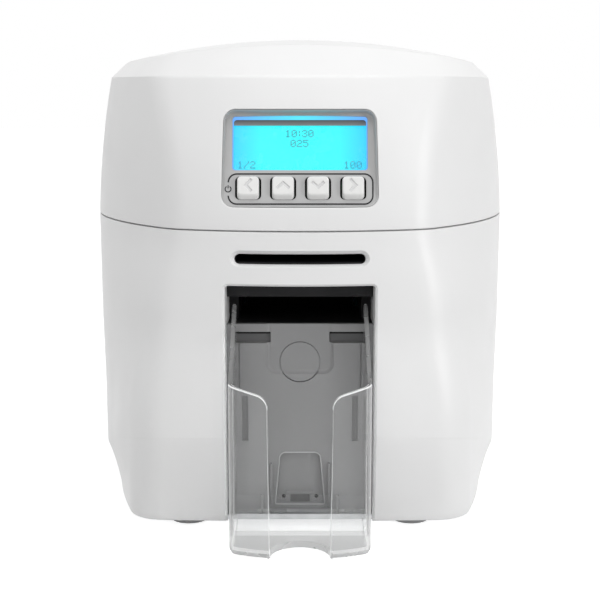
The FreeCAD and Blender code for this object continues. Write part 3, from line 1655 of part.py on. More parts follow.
def chevron(x, heading):
    """Groove in the shape of an arrow head that points left, up, down or right."""
    mid_v = (button_face_low + button_high) / 2
    tip = chevron_half_width
    back = -chevron_half_width
    stroke = chevron_stroke
    outline = [(tip, 0), (back + stroke / 2, chevron_half_height), (back - stroke / 2, chevron_half_height),
               (tip - stroke * 3 / 2, 0), (back - stroke / 2, -chevron_half_height),
               (back + stroke / 2, -chevron_half_height)]
    angle = math.radians(heading)
    turned = [(x + a * math.cos(angle) - b * math.sin(angle), mid_v + a * math.sin(angle) + b * math.cos(angle))
              for a, b in outline]
    return panel_prism(turned, chevron_depth - button_proud, button_proud + overrun)


def make_button(x, heading):
    """Key cap with a slanted lower edge, a retaining flange and a stem towards the switch."""
    cap = panel_block(x - button_half, x + button_half, button_low, button_high,
                      panel_thick + seat_gap, button_proud, button_corner)
    profile = [on_panel(x - button_half - overrun, v, out) for v, out in
               ((button_low, button_lip_proud), (button_face_low, button_proud + fit_gap / 3),
                (button_face_low, button_proud + overrun), (button_low - overrun, button_proud + overrun),
                (button_low - overrun, button_lip_proud))]
    slant = polygon_solid(profile, X_AXIS * (button_half + overrun) * 2)
    flange_deep = panel_thick + seat_gap + button_flange_thick
    flange = panel_block(x - button_half - button_flange, x + button_half + button_flange,
                         button_low - button_flange, button_high + button_flange, flange_deep,
                         -panel_thick - seat_gap, button_corner)
    mid_v = (button_low + button_high) / 2
    stem = panel_block(x - button_stem, x + button_stem, mid_v - button_stem, mid_v + button_stem,
                       keypad_depth - button_travel - seat_gap, -panel_thick, button_corner / 2)
    return join([cap, flange, stem]).cut([slant, chevron(x, heading)])


def make_lid_frame():
    z0 = frame_z
    z1 = frame_z + frame_thick
    plate = block(-frame_half, frame_half, frame_front, frame_back, z0, z1)
    skirts = pair(block(frame_half - frame_thick, frame_half, frame_front, frame_back, z0 - frame_skirt, z1))
    ears = pair(block(ear_x, ear_x + ear_thick, head_pivot_y - ear_half, head_pivot_y + ear_half,
                      head_pivot_z - ear_half / 2, z1))
    body = join([plate] + skirts + ears)
    hole = rod_x(-frame_half - overrun, frame_half + overrun, head_pivot_y, head_pivot_z,
                 small_shaft_radius + running_gap)
    return body.cut(hole)


def make_head_block():
    """Finned carrier of the print head, with its two arms and pivot shaft."""
    base = block(-head_half, head_half, head_front, head_back, head_low, head_low + head_base)
    top_plate = block(-head_half, head_half, head_front, head_back, head_top - fin_thick * 2, head_top)
    fins = []
    step = (2 * head_half - fin_thick) / (fin_count - 1)
    for i in range(fin_count):
        x = -head_half + i * step
        fins.append(block(x, x + fin_thick, head_front, head_back, head_low + head_base - overrun / 2, head_top))
    arms = pair(block(head_half - head_arm_thick, head_half, head_back - head_arm_thick, head_pivot_y,
                      head_top - head_arm_height / 2, head_pivot_z))
    knobs = pair(rod_x(head_half - head_arm_thick, head_half, head_pivot_y, head_pivot_z, head_arm_height / 2))
    shaft = rod_x(-ear_x - ear_thick, ear_x + ear_thick, head_pivot_y, head_pivot_z, small_shaft_radius)
    return join([base, top_plate, shaft] + fins + arms + knobs)


def make_thermal_head():
    y0, y1 = head_bar_front, head_bar_back
    mid = (y0 + y1) / 2
    half = head_tip / 2
    low = head_bar_low
    profile = [(y0, head_low), (y0, low + head_tip), (mid - half, low), (mid + half, low),
               (y1, low + head_tip), (y1, head_low)]
    return prism_x(profile, -head_bar_half, head_bar_half)


def make_head_springs():
    y = (head_front + head_back) / 2
    z0 = head_top + seat_gap
    z1 = frame_z - seat_gap
    return group([coil(head_spring_radius, head_spring_wire, head_spring_turns, x, y, z0, z1)
                  for x in (-head_spring_x, head_spring_x)])


def make_lid_latch():
    end = latch_ear_x + latch_ear_thick
    shaft = rod_x(-end, end, latch_y, latch_z, latch_shaft_radius)
    nose_face = keeper_back + seat_gap
    profile = [(latch_y - latch_thick, latch_z), (latch_y + latch_thick, latch_z),
               (nose_face + latch_nose, latch_low), (nose_face + fit_gap, latch_low),
               (nose_face, latch_low + latch_nose_height / 2), (nose_face + fit_gap, latch_low + latch_nose_height)]
    hook = prism_x(profile, latch_x - latch_half_width, latch_x + latch_half_width)
    hub = rod_x(latch_x - latch_half_width, latch_x + latch_half_width, latch_y, latch_z,
                latch_shaft_radius + latch_thick)
    return join([shaft] + pair(hook.fuse(hub)))


def build_nodes():
    """Every node of the machine by its name."""
    nodes = {}
    nodes["lower_case"] = make_lower_case()
    nodes["base_plate"] = make_base_plate()
    nodes["rubber_feet"] = make_rubber_feet()
    nodes["case_screws"] = make_case_screws()
    nodes["slot_guide"] = make_slot_guide()
    nodes["exit_chute"] = make_exit_chute()
    nodes["stacker_back_plate"] = make_stacker_back_plate()
    nodes["stacker_tray"] = make_stacker_tray()
    nodes["right_side_plate"] = make_side_plate(False)
    nodes["left_side_plate"] = make_side_plate(True)
    nodes["tie_bars"] = make_tie_bars()
    nodes["roller_bushings"] = make_roller_bushings()
    nodes["platen_shaft"] = make_platen_shaft()
    nodes["platen_roller"] = make_platen_roller()
    nodes["front_feed_roller"] = make_feed_roller(front_feed_y)
    nodes["rear_feed_roller"] = make_feed_roller(rear_feed_y)
    nodes["front_pinch_roller"] = make_small_roller(front_feed_y, pinch_z, pinch_radius)
    nodes["rear_pinch_roller"] = make_small_roller(rear_feed_y, pinch_z, pinch_radius)
    nodes["cleaning_roller"] = make_small_roller(cleaning_y, cleaning_z, cleaning_radius)
    nodes["pick_roller"] = make_pick_roller()
    nodes["drive_motor"] = make_drive_motor()
    nodes["motor_pulley"] = make_motor_pulley()
    platen_place = (platen_y, roller_z)
    nodes["motor_belt"] = make_belt((motor_y, motor_z), motor_pulley_radius, platen_place,
                                    platen_pulley_radius, motor_belt_x, motor_belt_width)
    nodes["feed_belt"] = make_belt((rear_feed_y, roller_z), feed_pulley_radius, (front_feed_y, roller_z),
                                   feed_pulley_radius, feed_belt_x, feed_belt_width)
    nodes["card_guides"] = make_card_guides()
    nodes["diverter_flap"] = make_diverter_flap()
    nodes["hopper_frame"] = make_hopper_frame()
    nodes["lift_plate"] = make_lift_plate()
    nodes["lift_spring"] = coil(spring_radius, spring_wire, spring_turns, 0, spring_y, spring_floor, spring_top)
    nodes["hopper_door"] = make_hopper_door()
    nodes["hinge_pins"] = make_hinge_pins()
    nodes["main_board"] = make_main_board()
    nodes["board_parts"] = make_board_parts()
    nodes["usb_socket"] = make_usb_socket()
    nodes["network_socket"] = make_network_socket()
    nodes["power_inlet"] = make_power_inlet()
    nodes["fan_frame"] = make_fan_frame()
    nodes["fan_rotor"] = make_fan_rotor()
    nodes["ribbon_frame"] = make_ribbon_frame()
    nodes["ribbon_film"] = make_ribbon_film()
    nodes["supply_spool"] = make_spool(supply_y, supply_roll_radius, cassette_half + cassette_wall)
    nodes["takeup_spool"] = make_spool(takeup_y, takeup_roll_radius, gear_x + gear_width)
    nodes["takeup_gear"] = make_takeup_gear()
    nodes["ribbon_pinion"] = make_ribbon_pinion()
    nodes["ribbon_motor"] = make_ribbon_motor()
    nodes["lid_shell"] = make_lid_shell()
    nodes["display_bezel"] = make_display_bezel()
    nodes["display_window"] = make_display_window()
    nodes["lcd_module"] = make_lcd_module()
    nodes["keypad_board"] = make_keypad_board()
    names = ("button_left", "button_up", "button_down", "button_right")
    for name, x, heading in zip(names, button_centres(), (180, 90, -90, 0)):
        nodes[name] = make_button(x, heading)
    nodes["lid_frame"] = make_lid_frame()
    nodes["head_block"] = make_head_block()
    nodes["thermal_head"] = make_thermal_head()
    nodes["head_springs"] = make_head_springs()
    nodes["lid_latch"] = make_lid_latch()
    return nodes


def save(nodes):
    """Moves the machine over its origin and writes one file for each node."""
    low = min(shape.BoundBox.YMin for shape in nodes.values())
    high = max(shape.BoundBox.YMax for shape in nodes.values())
    move = Vec(0, -(low + high) / 2, 0)
    os.makedirs("parts", exist_ok=True)
    for name, shape in nodes.items():
        placed = shape.copy()
        placed.translate(move)
        placed.exportStep(os.path.join("parts", name + ".step"))
    return move.y


nodes = build_nodes()
shift_y = save(nodes)
print("nodes", len(nodes), "shift", round(shift_y, 4))
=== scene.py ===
"""Looks of a desktop card printer: white casing, keyed display panel and clear output tray.

Sizes are in millimetres, counted back from the front of the casing; the workshop turns them into metres.
"""

import json
import logging
import math
from dataclasses import dataclass, replace
from enum import Enum, IntEnum
from functools import cached_property
from typing import Callable, Iterable, Sequence

import bmesh
import bpy
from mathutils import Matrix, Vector
from mathutils.bvhtree import BVHTree

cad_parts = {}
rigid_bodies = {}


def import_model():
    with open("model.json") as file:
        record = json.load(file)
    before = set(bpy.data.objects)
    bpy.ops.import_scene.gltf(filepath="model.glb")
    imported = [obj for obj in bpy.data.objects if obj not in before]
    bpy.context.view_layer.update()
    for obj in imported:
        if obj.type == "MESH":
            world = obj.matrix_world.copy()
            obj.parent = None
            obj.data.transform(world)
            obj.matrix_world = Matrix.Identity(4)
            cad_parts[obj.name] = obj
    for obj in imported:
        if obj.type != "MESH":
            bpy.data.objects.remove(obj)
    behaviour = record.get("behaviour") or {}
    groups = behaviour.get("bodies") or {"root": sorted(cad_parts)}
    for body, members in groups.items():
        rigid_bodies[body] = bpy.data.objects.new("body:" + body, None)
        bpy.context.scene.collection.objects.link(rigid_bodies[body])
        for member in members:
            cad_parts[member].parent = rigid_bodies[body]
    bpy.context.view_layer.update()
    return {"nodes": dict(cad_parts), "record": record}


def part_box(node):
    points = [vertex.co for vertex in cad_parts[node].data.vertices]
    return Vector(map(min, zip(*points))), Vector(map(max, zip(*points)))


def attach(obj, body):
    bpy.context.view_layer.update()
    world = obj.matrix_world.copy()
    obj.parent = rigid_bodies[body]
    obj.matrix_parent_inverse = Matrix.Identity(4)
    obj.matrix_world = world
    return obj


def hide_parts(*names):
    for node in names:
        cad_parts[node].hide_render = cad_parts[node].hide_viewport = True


LOG = logging.getLogger("card_printer")
MM = 0.001

Pair = tuple[float, float]
Triple = tuple[float, float, float]
Loop = list[Pair]
Ring = list[Vector]
Colour = tuple[float, float, float]
Socket = bpy.types.NodeSocket
Piece = bpy.types.Object
Pieces = dict[str, Piece]

SIDES = (-1, 1)
WHITE = (1.0, 1.0, 1.0)


class Slot(Enum):
    """Finishes that the record names."""

    SHELL = "white_shell"
    KEY = "key_white"
    PANEL = "panel_grey"
    TRAY = "clear_tray"
    WINDOW = "window_clear"
    SCREEN = "screen_cyan"
    PLATE = "plate_grey"
    BLACK = "black_plastic"
    RUBBER = "rubber_black"
    ROLLER = "roller_rubber"
    TACKY = "tacky_blue"
    STEEL = "steel"
    ZINC = "zinc_sheet"
    BRONZE = "bronze"
    MOTOR = "motor_black"
    BOARD = "board_green"
    CHIP = "chip_black"
    SOCKET = "socket_metal"
    INLET = "inlet_black"
    DYE = "ribbon_dye"
    GEAR = "gear_white"
    SINK = "heat_sink"
    CERAMIC = "head_ceramic"


# Node work for the finishes


class Graph:
    """Draws a node tree."""

    usual_span: Pair = (0.3, 0.7)

    def __init__(self, tree: bpy.types.NodeTree) -> None:
        """Keep the tree."""
        self.tree = tree

    def node(self, kind: str, **settings: object) -> bpy.types.Node:
        """Add a node.

        Args:
            kind: the node type, without its common beginning.
            settings: attributes of the node.

        Returns:
            The new node.
        """
        made = self.tree.nodes.new("ShaderNode" + kind)
        for key, value in settings.items():
            setattr(made, key, value)
        return made

    def join(self, source: Socket, target: Socket) -> None:
        """Link two sockets."""
        self.tree.links.new(source, target)

    def math(self, operation: str, *values: Socket | float) -> Socket:
        """Work out a number.

        Args:
            operation: the name of what is done.
            values: sockets or plain numbers.

        Returns:
            The result.
        """
        made = self.node("Math", operation=operation)
        for value, entry in zip(values, made.inputs):
            if isinstance(value, Socket):
                self.join(value, entry)
            else:
                entry.default_value = value
        return made.outputs[0]

    def spread(self, source: Socket, low: float, high: float, span: Pair = usual_span) -> Socket:
        """Spread a strength between two values.

        Args:
            source: the strength.
            low: value at the weak end.
            high: value at the strong end.
            span: the strengths at those ends, which a noise seldom leaves.

        Returns:
            The value.
        """
        made = self.node("MapRange")
        for name, value in zip(("From Min", "From Max", "To Min", "To Max"), (*span, low, high)):
            made.inputs[name].default_value = value
        self.join(source, made.inputs["Value"])
        return made.outputs["Result"]

    def shown(self) -> Socket:
        """Tell where the white background shows: to the camera, in gloss and through clear plastic.

        Returns:
            1 there and 0 for the light on the printer.
        """
        rays = self.node("LightPath").outputs
        direct = self.math("MAXIMUM", rays["Is Camera Ray"], rays["Is Glossy Ray"])
        return self.math("MAXIMUM", direct, rays["Is Transmission Ray"])


class Pen(Graph):
    """Draws one procedural material."""

    def __init__(self, name: str) -> None:
        """Start a material with its surface shader.

        Args:
            name: the material's name.
        """
        self.material = bpy.data.materials.new(name)
        self.material.use_nodes = True
        super().__init__(self.material.node_tree)
        self.shader = self.tree.nodes["Principled BSDF"]
        self.place = self.node("TexCoord").outputs["Object"]

    def along(self, axis: str) -> Socket:
        """Give the place along one axis of the object.

        Args:
            axis: X, Y or Z.

        Returns:
            The place in metres.
        """
        split = self.node("SeparateXYZ")
        self.join(self.place, split.inputs["Vector"])
        return split.outputs[axis]

    def noise(self, scale: float, detail: float = 3.0, stretch: Triple = (1.0, 1.0, 1.0)) -> Socket:
        """Give a soft random pattern.

        Args:
            scale: how fine it is, in patches to the metre.
            detail: octaves of finer pattern.
            stretch: factor along each axis.

        Returns:
            The pattern's strength.
        """
        mapping = self.node("Mapping")
        mapping.inputs["Scale"].default_value = stretch
        self.join(self.place, mapping.inputs["Vector"])
        made = self.node("TexNoise")
        made.inputs["Scale"].default_value = scale
        made.inputs["Detail"].default_value = detail
        self.join(mapping.outputs["Vector"], made.inputs["Vector"])
        return made.outputs["Fac"]

    def ramp(self, source: Socket, stops: Sequence[tuple[float, Colour]]) -> Socket:
        """Turn a strength into a colour.

        Args:
            source: strength from 0 to 1.
            stops: places and their colours.

        Returns:
            The colour.
        """
        made = self.node("ValToRGB")
        band = made.color_ramp
        while len(band.elements) < len(stops):
            band.elements.new(0.5)
        for element, (position, colour) in zip(band.elements, stops):
            element.position = position
            element.color = (*colour, 1.0)
        self.join(source, made.inputs["Fac"])
        return made.outputs["Color"]

    def tone(self, source: Socket, colour: Colour, change: float) -> None:
        """Let the shader's colour wander a little around one colour."""
        ends = [tuple(min(c * share, 1.0) for c in colour) for share in (1 - change, 1 + change)]
        self.join(self.ramp(source, list(zip(self.usual_span, ends))), self.shader.inputs["Base Color"])

    def polish(self, source: Socket, sheen: Pair) -> None:
        """Let the roughness wander between two values."""
        self.join(self.spread(source, *sheen), self.shader.inputs["Roughness"])

    def grain(self, source: Socket, depth: float) -> None:
        """Raise the surface by a pattern.

        Args:
            source: the pattern's strength.
            depth: height in metres.
        """
        bump = self.node("Bump")
        bump.inputs["Distance"].default_value = depth
        bump.inputs["Strength"].default_value = 1.0
        self.join(source, bump.inputs["Height"])
        self.join(bump.outputs["Normal"], self.shader.inputs["Normal"])

    def set(self, **values: float | Colour) -> None:
        """Set the shader's own sockets.

        Args:
            values: each socket's value, with underscores for the spaces in its name.
        """
        for key, value in values.items():
            socket = self.shader.inputs[key.replace("_", " ").title().replace("Ior", "IOR")]
            socket.default_value = (*value, 1.0) if isinstance(value, tuple) else value


@dataclass(frozen=True)
class Finish:
    """How the surface of a piece looks."""

    name: str

    def draw(self, pen: Pen) -> None:
        """Draw the finish's nodes."""
        raise NotImplementedError(self.name)


@dataclass(frozen=True)
class Moulded(Finish):
    """Moulded plastic or rubber with a fine grain and slightly uneven sheen."""

    colour: Colour
    sheen: Pair = (0.34, 0.44)
    grain_scale: float = 2600.0
    grain_depth: float = 0.000012
    change: float = 0.02
    specular: float = 0.5
    tone_scale: float = 14.0
    sheen_scale: float = 60.0
    ior: float = 1.49

    def draw(self, pen: Pen) -> None:
        """Draw the finish's nodes.

        Args:
            pen: draws them.
        """
        pen.tone(pen.noise(self.tone_scale), self.colour, self.change)
        pen.polish(pen.noise(self.sheen_scale), self.sheen)
        pen.grain(pen.noise(self.grain_scale, 2.0), self.grain_depth)
        pen.set(ior=self.ior, specular_ior_level=self.specular)


@dataclass(frozen=True)
class Clear(Finish):
    """Clear moulded plastic with faint flow marks."""

    colour: Colour
    roughness: float = 0.03
    ior: float = 1.04
    wave_depth: float = 0.000008
    coat: float = 1.0
    transmission: float = 1.0
    coat_roughness: float = 0.22
    change: float = 0.015
    tone_scale: float = 20.0
    sheen_scale: float = 90.0
    sheen_shares: Pair = (0.6, 1.4)
    wave_scale: float = 35.0

    def draw(self, pen: Pen) -> None:
        """Draw the finish's nodes.

        Args:
            pen: draws them.
        """
        low, high = self.sheen_shares
        pen.tone(pen.noise(self.tone_scale), self.colour, self.change)
        pen.polish(pen.noise(self.sheen_scale), (self.roughness * low, self.roughness * high))
        pen.grain(pen.noise(self.wave_scale, 1.0), self.wave_depth)
        pen.set(transmission_weight=self.transmission, ior=self.ior, coat_weight=self.coat,
                coat_roughness=self.coat_roughness)


@dataclass(frozen=True)
class Metal(Finish):
    """Metal with streaks along one axis."""

    colour: Colour
    sheen: Pair = (0.25, 0.4)
    streaks: Triple = (1.0, 8.0, 8.0)
    streak_scale: float = 320.0
    depth: float = 0.000006
    change: float = 0.06
    tone_scale: float = 40.0

    def draw(self, pen: Pen) -> None:
        """Draw the finish's nodes.

        Args:
            pen: draws them.
        """
        streaks = pen.noise(self.streak_scale, 4.0, self.streaks)
        pen.tone(pen.noise(self.tone_scale), self.colour, self.change)
        pen.polish(streaks, self.sheen)
        pen.grain(streaks, self.depth)
        pen.set(metallic=1.0)


@dataclass(frozen=True)
class Spangled(Finish):
    """Zinc plated sheet with faint crystals."""

    colour: Colour
    sheen: Pair = (0.3, 0.42)
    crystal_scale: float = 130.0
    change: float = 0.08
    grain_scale: float = 900.0
    grain_depth: float = 0.000004

    def draw(self, pen: Pen) -> None:
        """Draw the finish's nodes.

        Args:
            pen: draws them.
        """
        crystals = pen.node("TexVoronoi")
        crystals.inputs["Scale"].default_value = self.crystal_scale
        pen.join(pen.place, crystals.inputs["Vector"])
        pen.tone(crystals.outputs["Distance"], self.colour, self.change)
        pen.polish(crystals.outputs["Distance"], self.sheen)
        pen.grain(pen.noise(self.grain_scale, 2.0), self.grain_depth)
        pen.set(metallic=1.0)


@dataclass(frozen=True)
class Lacquered(Finish):
    """Circuit board under solder lacquer, with tracks that show through."""

    colour: Colour
    track: Colour
    sheen: Pair = (0.22, 0.34)
    sheen_scale: float = 50.0
    track_scale: float = 160.0
    track_width: float = 0.06
    track_depth: float = 0.00003
    shade: float = 0.8

    def draw(self, pen: Pen) -> None:
        """Draw the finish's nodes.

        Args:
            pen: draws them.
        """
        bricks = pen.node("TexBrick")
        values = {"Scale": self.track_scale, "Mortar Size": self.track_width, "Color1": (*self.colour, 1.0),
                  "Color2": (*(c * self.shade for c in self.colour), 1.0), "Mortar": (*self.track, 1.0)}
        for name, value in values.items():
            bricks.inputs[name].default_value = value
        pen.join(pen.place, bricks.inputs["Vector"])
        pen.join(bricks.outputs["Color"], pen.shader.inputs["Base Color"])
        pen.polish(pen.noise(self.sheen_scale), self.sheen)
        pen.grain(bricks.outputs["Fac"], self.track_depth)


@dataclass(frozen=True)
class Banded(Finish):
    """Dye film in bands of ink across the roll."""

    inks: tuple[Colour, ...]
    sheen: Pair = (0.12, 0.24)
    sheen_scale: float = 70.0
    band_scale: float = 9.0
    wander: float = 0.6
    grain_scale: float = 400.0
    grain_depth: float = 0.000005

    def draw(self, pen: Pen) -> None:
        """Draw the finish's nodes.

        Args:
            pen: draws them.
        """
        wave = pen.node("TexWave", bands_direction="Z")
        wave.inputs["Scale"].default_value = self.band_scale
        wave.inputs["Distortion"].default_value = self.wander
        pen.join(pen.place, wave.inputs["Vector"])
        stops = tuple((i / len(self.inks), ink) for i, ink in enumerate(self.inks))
        pen.join(pen.ramp(wave.outputs["Fac"], stops), pen.shader.inputs["Base Color"])
        pen.polish(pen.noise(self.sheen_scale), self.sheen)
        pen.grain(pen.noise(self.grain_scale, 2.0), self.grain_depth)


@dataclass(frozen=True)
class Glowing(Finish):
    """Glowing colour, brightest in the middle and bluer at the sides: the backlit display and its figures,
    and the painted reflection of the display's light on the window's edge.
    """

    middle: Colour
    side: Colour
    knee: float = 0.5
    strength: float = 1.0
    half_width: float = 0.034
    side_share: float = 0.98
    base: Colour = (0.01, 0.05, 0.06)
    change: float = 0.05
    sheen: Pair = (0.2, 0.3)
    tone_scale: float = 30.0
    sheen_scale: float = 90.0

    def draw(self, pen: Pen) -> None:
        """Draw the finish's nodes.

        Args:
            pen: draws them.
        """
        out = pen.spread(pen.math("ABSOLUTE", pen.along("X")), 0.0, 1.0, (0.0, self.half_width))
        colour = pen.ramp(out, ((self.knee, self.middle), (self.side_share, self.side)))
        pen.join(colour, pen.shader.inputs["Emission Color"])
        pen.tone(pen.noise(self.tone_scale), self.base, self.change)
        pen.polish(pen.noise(self.sheen_scale), self.sheen)
        pen.set(emission_strength=self.strength)


@dataclass(frozen=True)
class Graded(Finish):
    """Plastic whose colour darkens towards its top: painted shade under an edge."""

    bottom: Colour
    top: Colour
    heights: Pair
    sheen: Pair = (0.45, 0.55)
    sheen_scale: float = 60.0
    grain_scale: float = 1500.0
    grain_depth: float = 0.00001
    specular: float = 0.2

    def draw(self, pen: Pen) -> None:
        """Draw the finish's nodes.

        Args:
            pen: draws them.
        """
        up = pen.spread(pen.along("Z"), 0.0, 1.0, self.heights)
        pen.join(pen.ramp(up, ((0.0, self.bottom), (1.0, self.top))), pen.shader.inputs["Base Color"])
        pen.polish(pen.noise(self.sheen_scale), self.sheen)
        pen.grain(pen.noise(self.grain_scale, 2.0), self.grain_depth)
        pen.set(specular_ior_level=self.specular)


FINISHES: dict[Slot, Finish] = {
    Slot.SHELL: Moulded("white_casing", (0.80, 0.80, 0.80)),
    Slot.KEY: Moulded("white_key", (0.78, 0.78, 0.77), (0.3, 0.4)),
    Slot.PANEL: Moulded("silver_panel", (0.45, 0.45, 0.45), (0.38, 0.5)),
    Slot.TRAY: Clear("clear_tray_plastic", (0.90, 0.905, 0.905)),
    Slot.WINDOW: Clear("clear_window", (0.98, 0.99, 1.0), 0.01, 1.1, 0.0, 0.2),
    Slot.SCREEN: Glowing("lit_screen", (0.015, 0.95, 0.96), (0.015, 0.56, 1.0)),
    Slot.PLATE: Moulded("grey_plate", (0.215, 0.215, 0.217), (0.4, 0.52)),
    Slot.BLACK: Moulded("black_plastic", (0.011, 0.011, 0.012), (0.5, 0.62), 1800.0, specular=0.2),
    Slot.RUBBER: Moulded("foot_rubber", (0.34, 0.34, 0.34), (0.6, 0.75), 900.0, 0.00003, 0.1),
    Slot.ROLLER: Moulded("roller_rubber", (0.055, 0.055, 0.06), (0.5, 0.62), 1200.0, 0.00002, 0.1),
    Slot.TACKY: Moulded("tacky_silicone", (0.08, 0.24, 0.50), (0.2, 0.32), 700.0, 0.00001, 0.06),
    Slot.STEEL: Metal("turned_steel", (0.56, 0.56, 0.57)),
    Slot.ZINC: Spangled("zinc_sheet", (0.60, 0.61, 0.62)),
    Slot.BRONZE: Metal("sintered_bronze", (0.55, 0.36, 0.17), (0.35, 0.5), (1.0, 1.0, 1.0)),
    Slot.MOTOR: Moulded("motor_enamel", (0.03, 0.03, 0.032), (0.3, 0.42), 1500.0, 0.00001, 0.08),
    Slot.BOARD: Lacquered("board_lacquer", (0.012, 0.13, 0.05), (0.03, 0.24, 0.10)),
    Slot.CHIP: Moulded("chip_epoxy", (0.02, 0.02, 0.022), (0.45, 0.6), 2000.0, 0.00001, 0.08),
    Slot.SOCKET: Metal("tinned_sheet", (0.66, 0.66, 0.65), (0.2, 0.34)),
    Slot.INLET: Moulded("inlet_plastic", (0.015, 0.015, 0.016), (0.35, 0.5)),
    Slot.DYE: Banded("dye_film", ((0.75, 0.62, 0.03), (0.55, 0.02, 0.22), (0.01, 0.25, 0.5),
                                  (0.02, 0.02, 0.025))),
    Slot.GEAR: Moulded("gear_acetal", (0.74, 0.73, 0.68), (0.28, 0.4), 1500.0, 0.00001, 0.03),
    Slot.SINK: Metal("sink_aluminium", (0.68, 0.69, 0.70), (0.28, 0.42), (8.0, 1.0, 8.0)),
    Slot.CERAMIC: Moulded("glazed_ceramic", (0.42, 0.36, 0.29), (0.12, 0.22), 800.0, 0.000006, 0.06),
}


class Wardrobe:
    """Makes each material once and hands it out."""

    def __init__(self) -> None:
        """Start with no material."""
        self.made: dict[str, bpy.types.Material] = {}

    def of(self, finish: Finish) -> bpy.types.Material:
        """Give a finish's material.

        Args:
            finish: the finish wanted.

        Returns:
            Its material.
        """
        if finish.name not in self.made:
            pen = Pen(finish.name)
            finish.draw(pen)
            self.made[finish.name] = pen.material
        return self.made[finish.name]

    def dress(self, piece: Piece, finish: Finish) -> None:
        """Put one finish on a whole piece."""
        piece.data.materials.clear()
        piece.data.materials.append(self.of(finish))


# Outlines


LONGEST_RUN = 4.0


def arc(centre: Pair, radius: float, first: float, last: float, steps: int) -> Loop:
    """Give points along an arc without its end."""
    turns = [first + (last - first) * i / steps for i in range(steps)]
    return [(centre[0] + radius * math.cos(turn), centre[1] + radius * math.sin(turn)) for turn in turns]


def refined(points: Loop) -> Loop:
    """Divide an outline's long runs, so that it can follow a curved face.

    Args:
        points: closed outline.

    Returns:
        The outline with more points.
    """
    made: Loop = []
    for (u0, v0), (u1, v1) in zip(points, points[1:] + points[:1]):
        parts = max(1, math.ceil(math.hypot(u1 - u0, v1 - v0) / LONGEST_RUN))
        made += [(u0 + (u1 - u0) * i / parts, v0 + (v1 - v0) * i / parts) for i in range(parts)]
    return made


def filleted(corners: Sequence[Triple], steps: int = 6) -> Loop:
    """Give the outline of a polygon with rounded corners.

    Args:
        corners: places across and up with the radius of each corner, counter-clockwise.
        steps: points in each corner, less one.

    Returns:
        The outline.
    """
    points: Loop = []
    for i, (u, v, radius) in enumerate(corners):
        here = Vector((u, v))
        back = (Vector(corners[i - 1][:2]) - here).normalized()
        ahead = (Vector(corners[(i + 1) % len(corners)][:2]) - here).normalized()
        half = back.angle(ahead) / 2
        run = radius / math.tan(half)
        middle = here + (back + ahead).normalized() * (radius / math.sin(half))
        first = here + back * run - middle
        last = here + ahead * run - middle
        for k in range(steps + 1):
            arm = first.lerp(last, k / steps).normalized() * radius
            points.append((middle.x + arm.x, middle.y + arm.y))
    return refined(points)


def tapered(points: Loop, low: float, high: float, share: float) -> Loop:
    """Narrow an outline evenly, from its full width at a low level to a share less at a high one."""
    return [(u * (1.0 - share * (v - low) / (high - low)), v) for u, v in points]


def arched(points: Loop, level: float, rise: float) -> Loop:
    """Raise the middle of an outline's top side, which lies over a level."""
    half = max(u for u, _ in points)
    return [(u, v + rise * (1.0 - (u / half) ** 2)) if v > level else (u, v) for u, v in points]


def offset(points: Loop, by: float) -> Loop:
    """Move an outline out.

    Args:
        points: the outline, counter-clockwise.
        by: how far, or how far in where it is negative.

    Returns:
        The outline, with as many points.
    """
    moved: Loop = []
    count = len(points)
    for i in range(count):
        run = (Vector(points[(i + 1) % count]) - Vector(points[i - 1])).normalized()
        moved.append((points[i][0] + run.y * by, points[i][1] - run.x * by))
    return moved


@dataclass(frozen=True)
class Patch:
    """Rounded rectangle on a view: its left, right, lower and upper sides and its corners."""

    u0: float
    u1: float
    v0: float
    v1: float
    corner: float
    steps: int = 6

    @classmethod
    def across(cls, half: float, v0: float, v1: float, corner: float, steps: int = 6) -> "Patch":
        """Give one that is centred on the printer's middle."""
        return cls(-half, half, v0, v1, corner, steps)

    def on(self, side: int) -> "Patch":
        """Give the patch itself on side 1, on the right, and its mirror image on side -1."""
        return self if side > 0 else replace(self, u0=-self.u1, u1=-self.u0)

    def moved(self, u: float, v: float = 0.0) -> "Patch":
        """Give the patch, moved across and up."""
        return replace(self, u0=u + self.u0, u1=u + self.u1, v0=v + self.v0, v1=v + self.v1)

    def loop(self) -> Loop:
        """Give the outline, with extra points along its runs.

        Returns:
            The outline, counter-clockwise.
        """
        r = self.corner
        centres = ((self.u1 - r, self.v0 + r), (self.u1 - r, self.v1 - r),
                   (self.u0 + r, self.v1 - r), (self.u0 + r, self.v0 + r))
        points: Loop = []
        for (u, v), start in zip(centres, (-90, 0, 90, 180)):
            first = math.radians(start)
            last = first + math.pi / 2
            points += arc((u, v), r, first, last, self.steps)
            points.append((u + r * math.cos(last), v + r * math.sin(last)))
        return refined(points)


@dataclass(frozen=True)
class Sight:
    """A flat view onto the printer: places across and up it, and the way out of it."""

    start: Vector
    across: Vector
    up: Vector
    out: Vector

    def place(self, u: float, v: float, proud: float) -> Vector:
        """Give the place at u and v, raised by an amount."""
        return self.start + self.across * u + self.up * v + self.out * proud


RIGHT = Vector((1, 0, 0))
BACKWARDS = Vector((0, 1, 0))
UPWARDS = Vector((0, 0, 1))
FORWARDS = Vector((0, -1, 0))

FRONT = Sight(Vector((0, 0, 0)), RIGHT, UPWARDS, FORWARDS)
BACK = Sight(Vector((0, 0, 0)), RIGHT, UPWARDS, BACKWARDS)
ABOVE = Sight(Vector((0, 0, 0)), RIGHT, BACKWARDS, UPWARDS)

PANEL_TILT = math.radians(15.0)
PANEL = Sight(Vector((0, 4.4, 155.4)), RIGHT, Vector((0, math.sin(PANEL_TILT), math.cos(PANEL_TILT))),
              Vector((0, -math.cos(PANEL_TILT), math.sin(PANEL_TILT))))
PANEL_TAPER = 0.031


# Mesh work


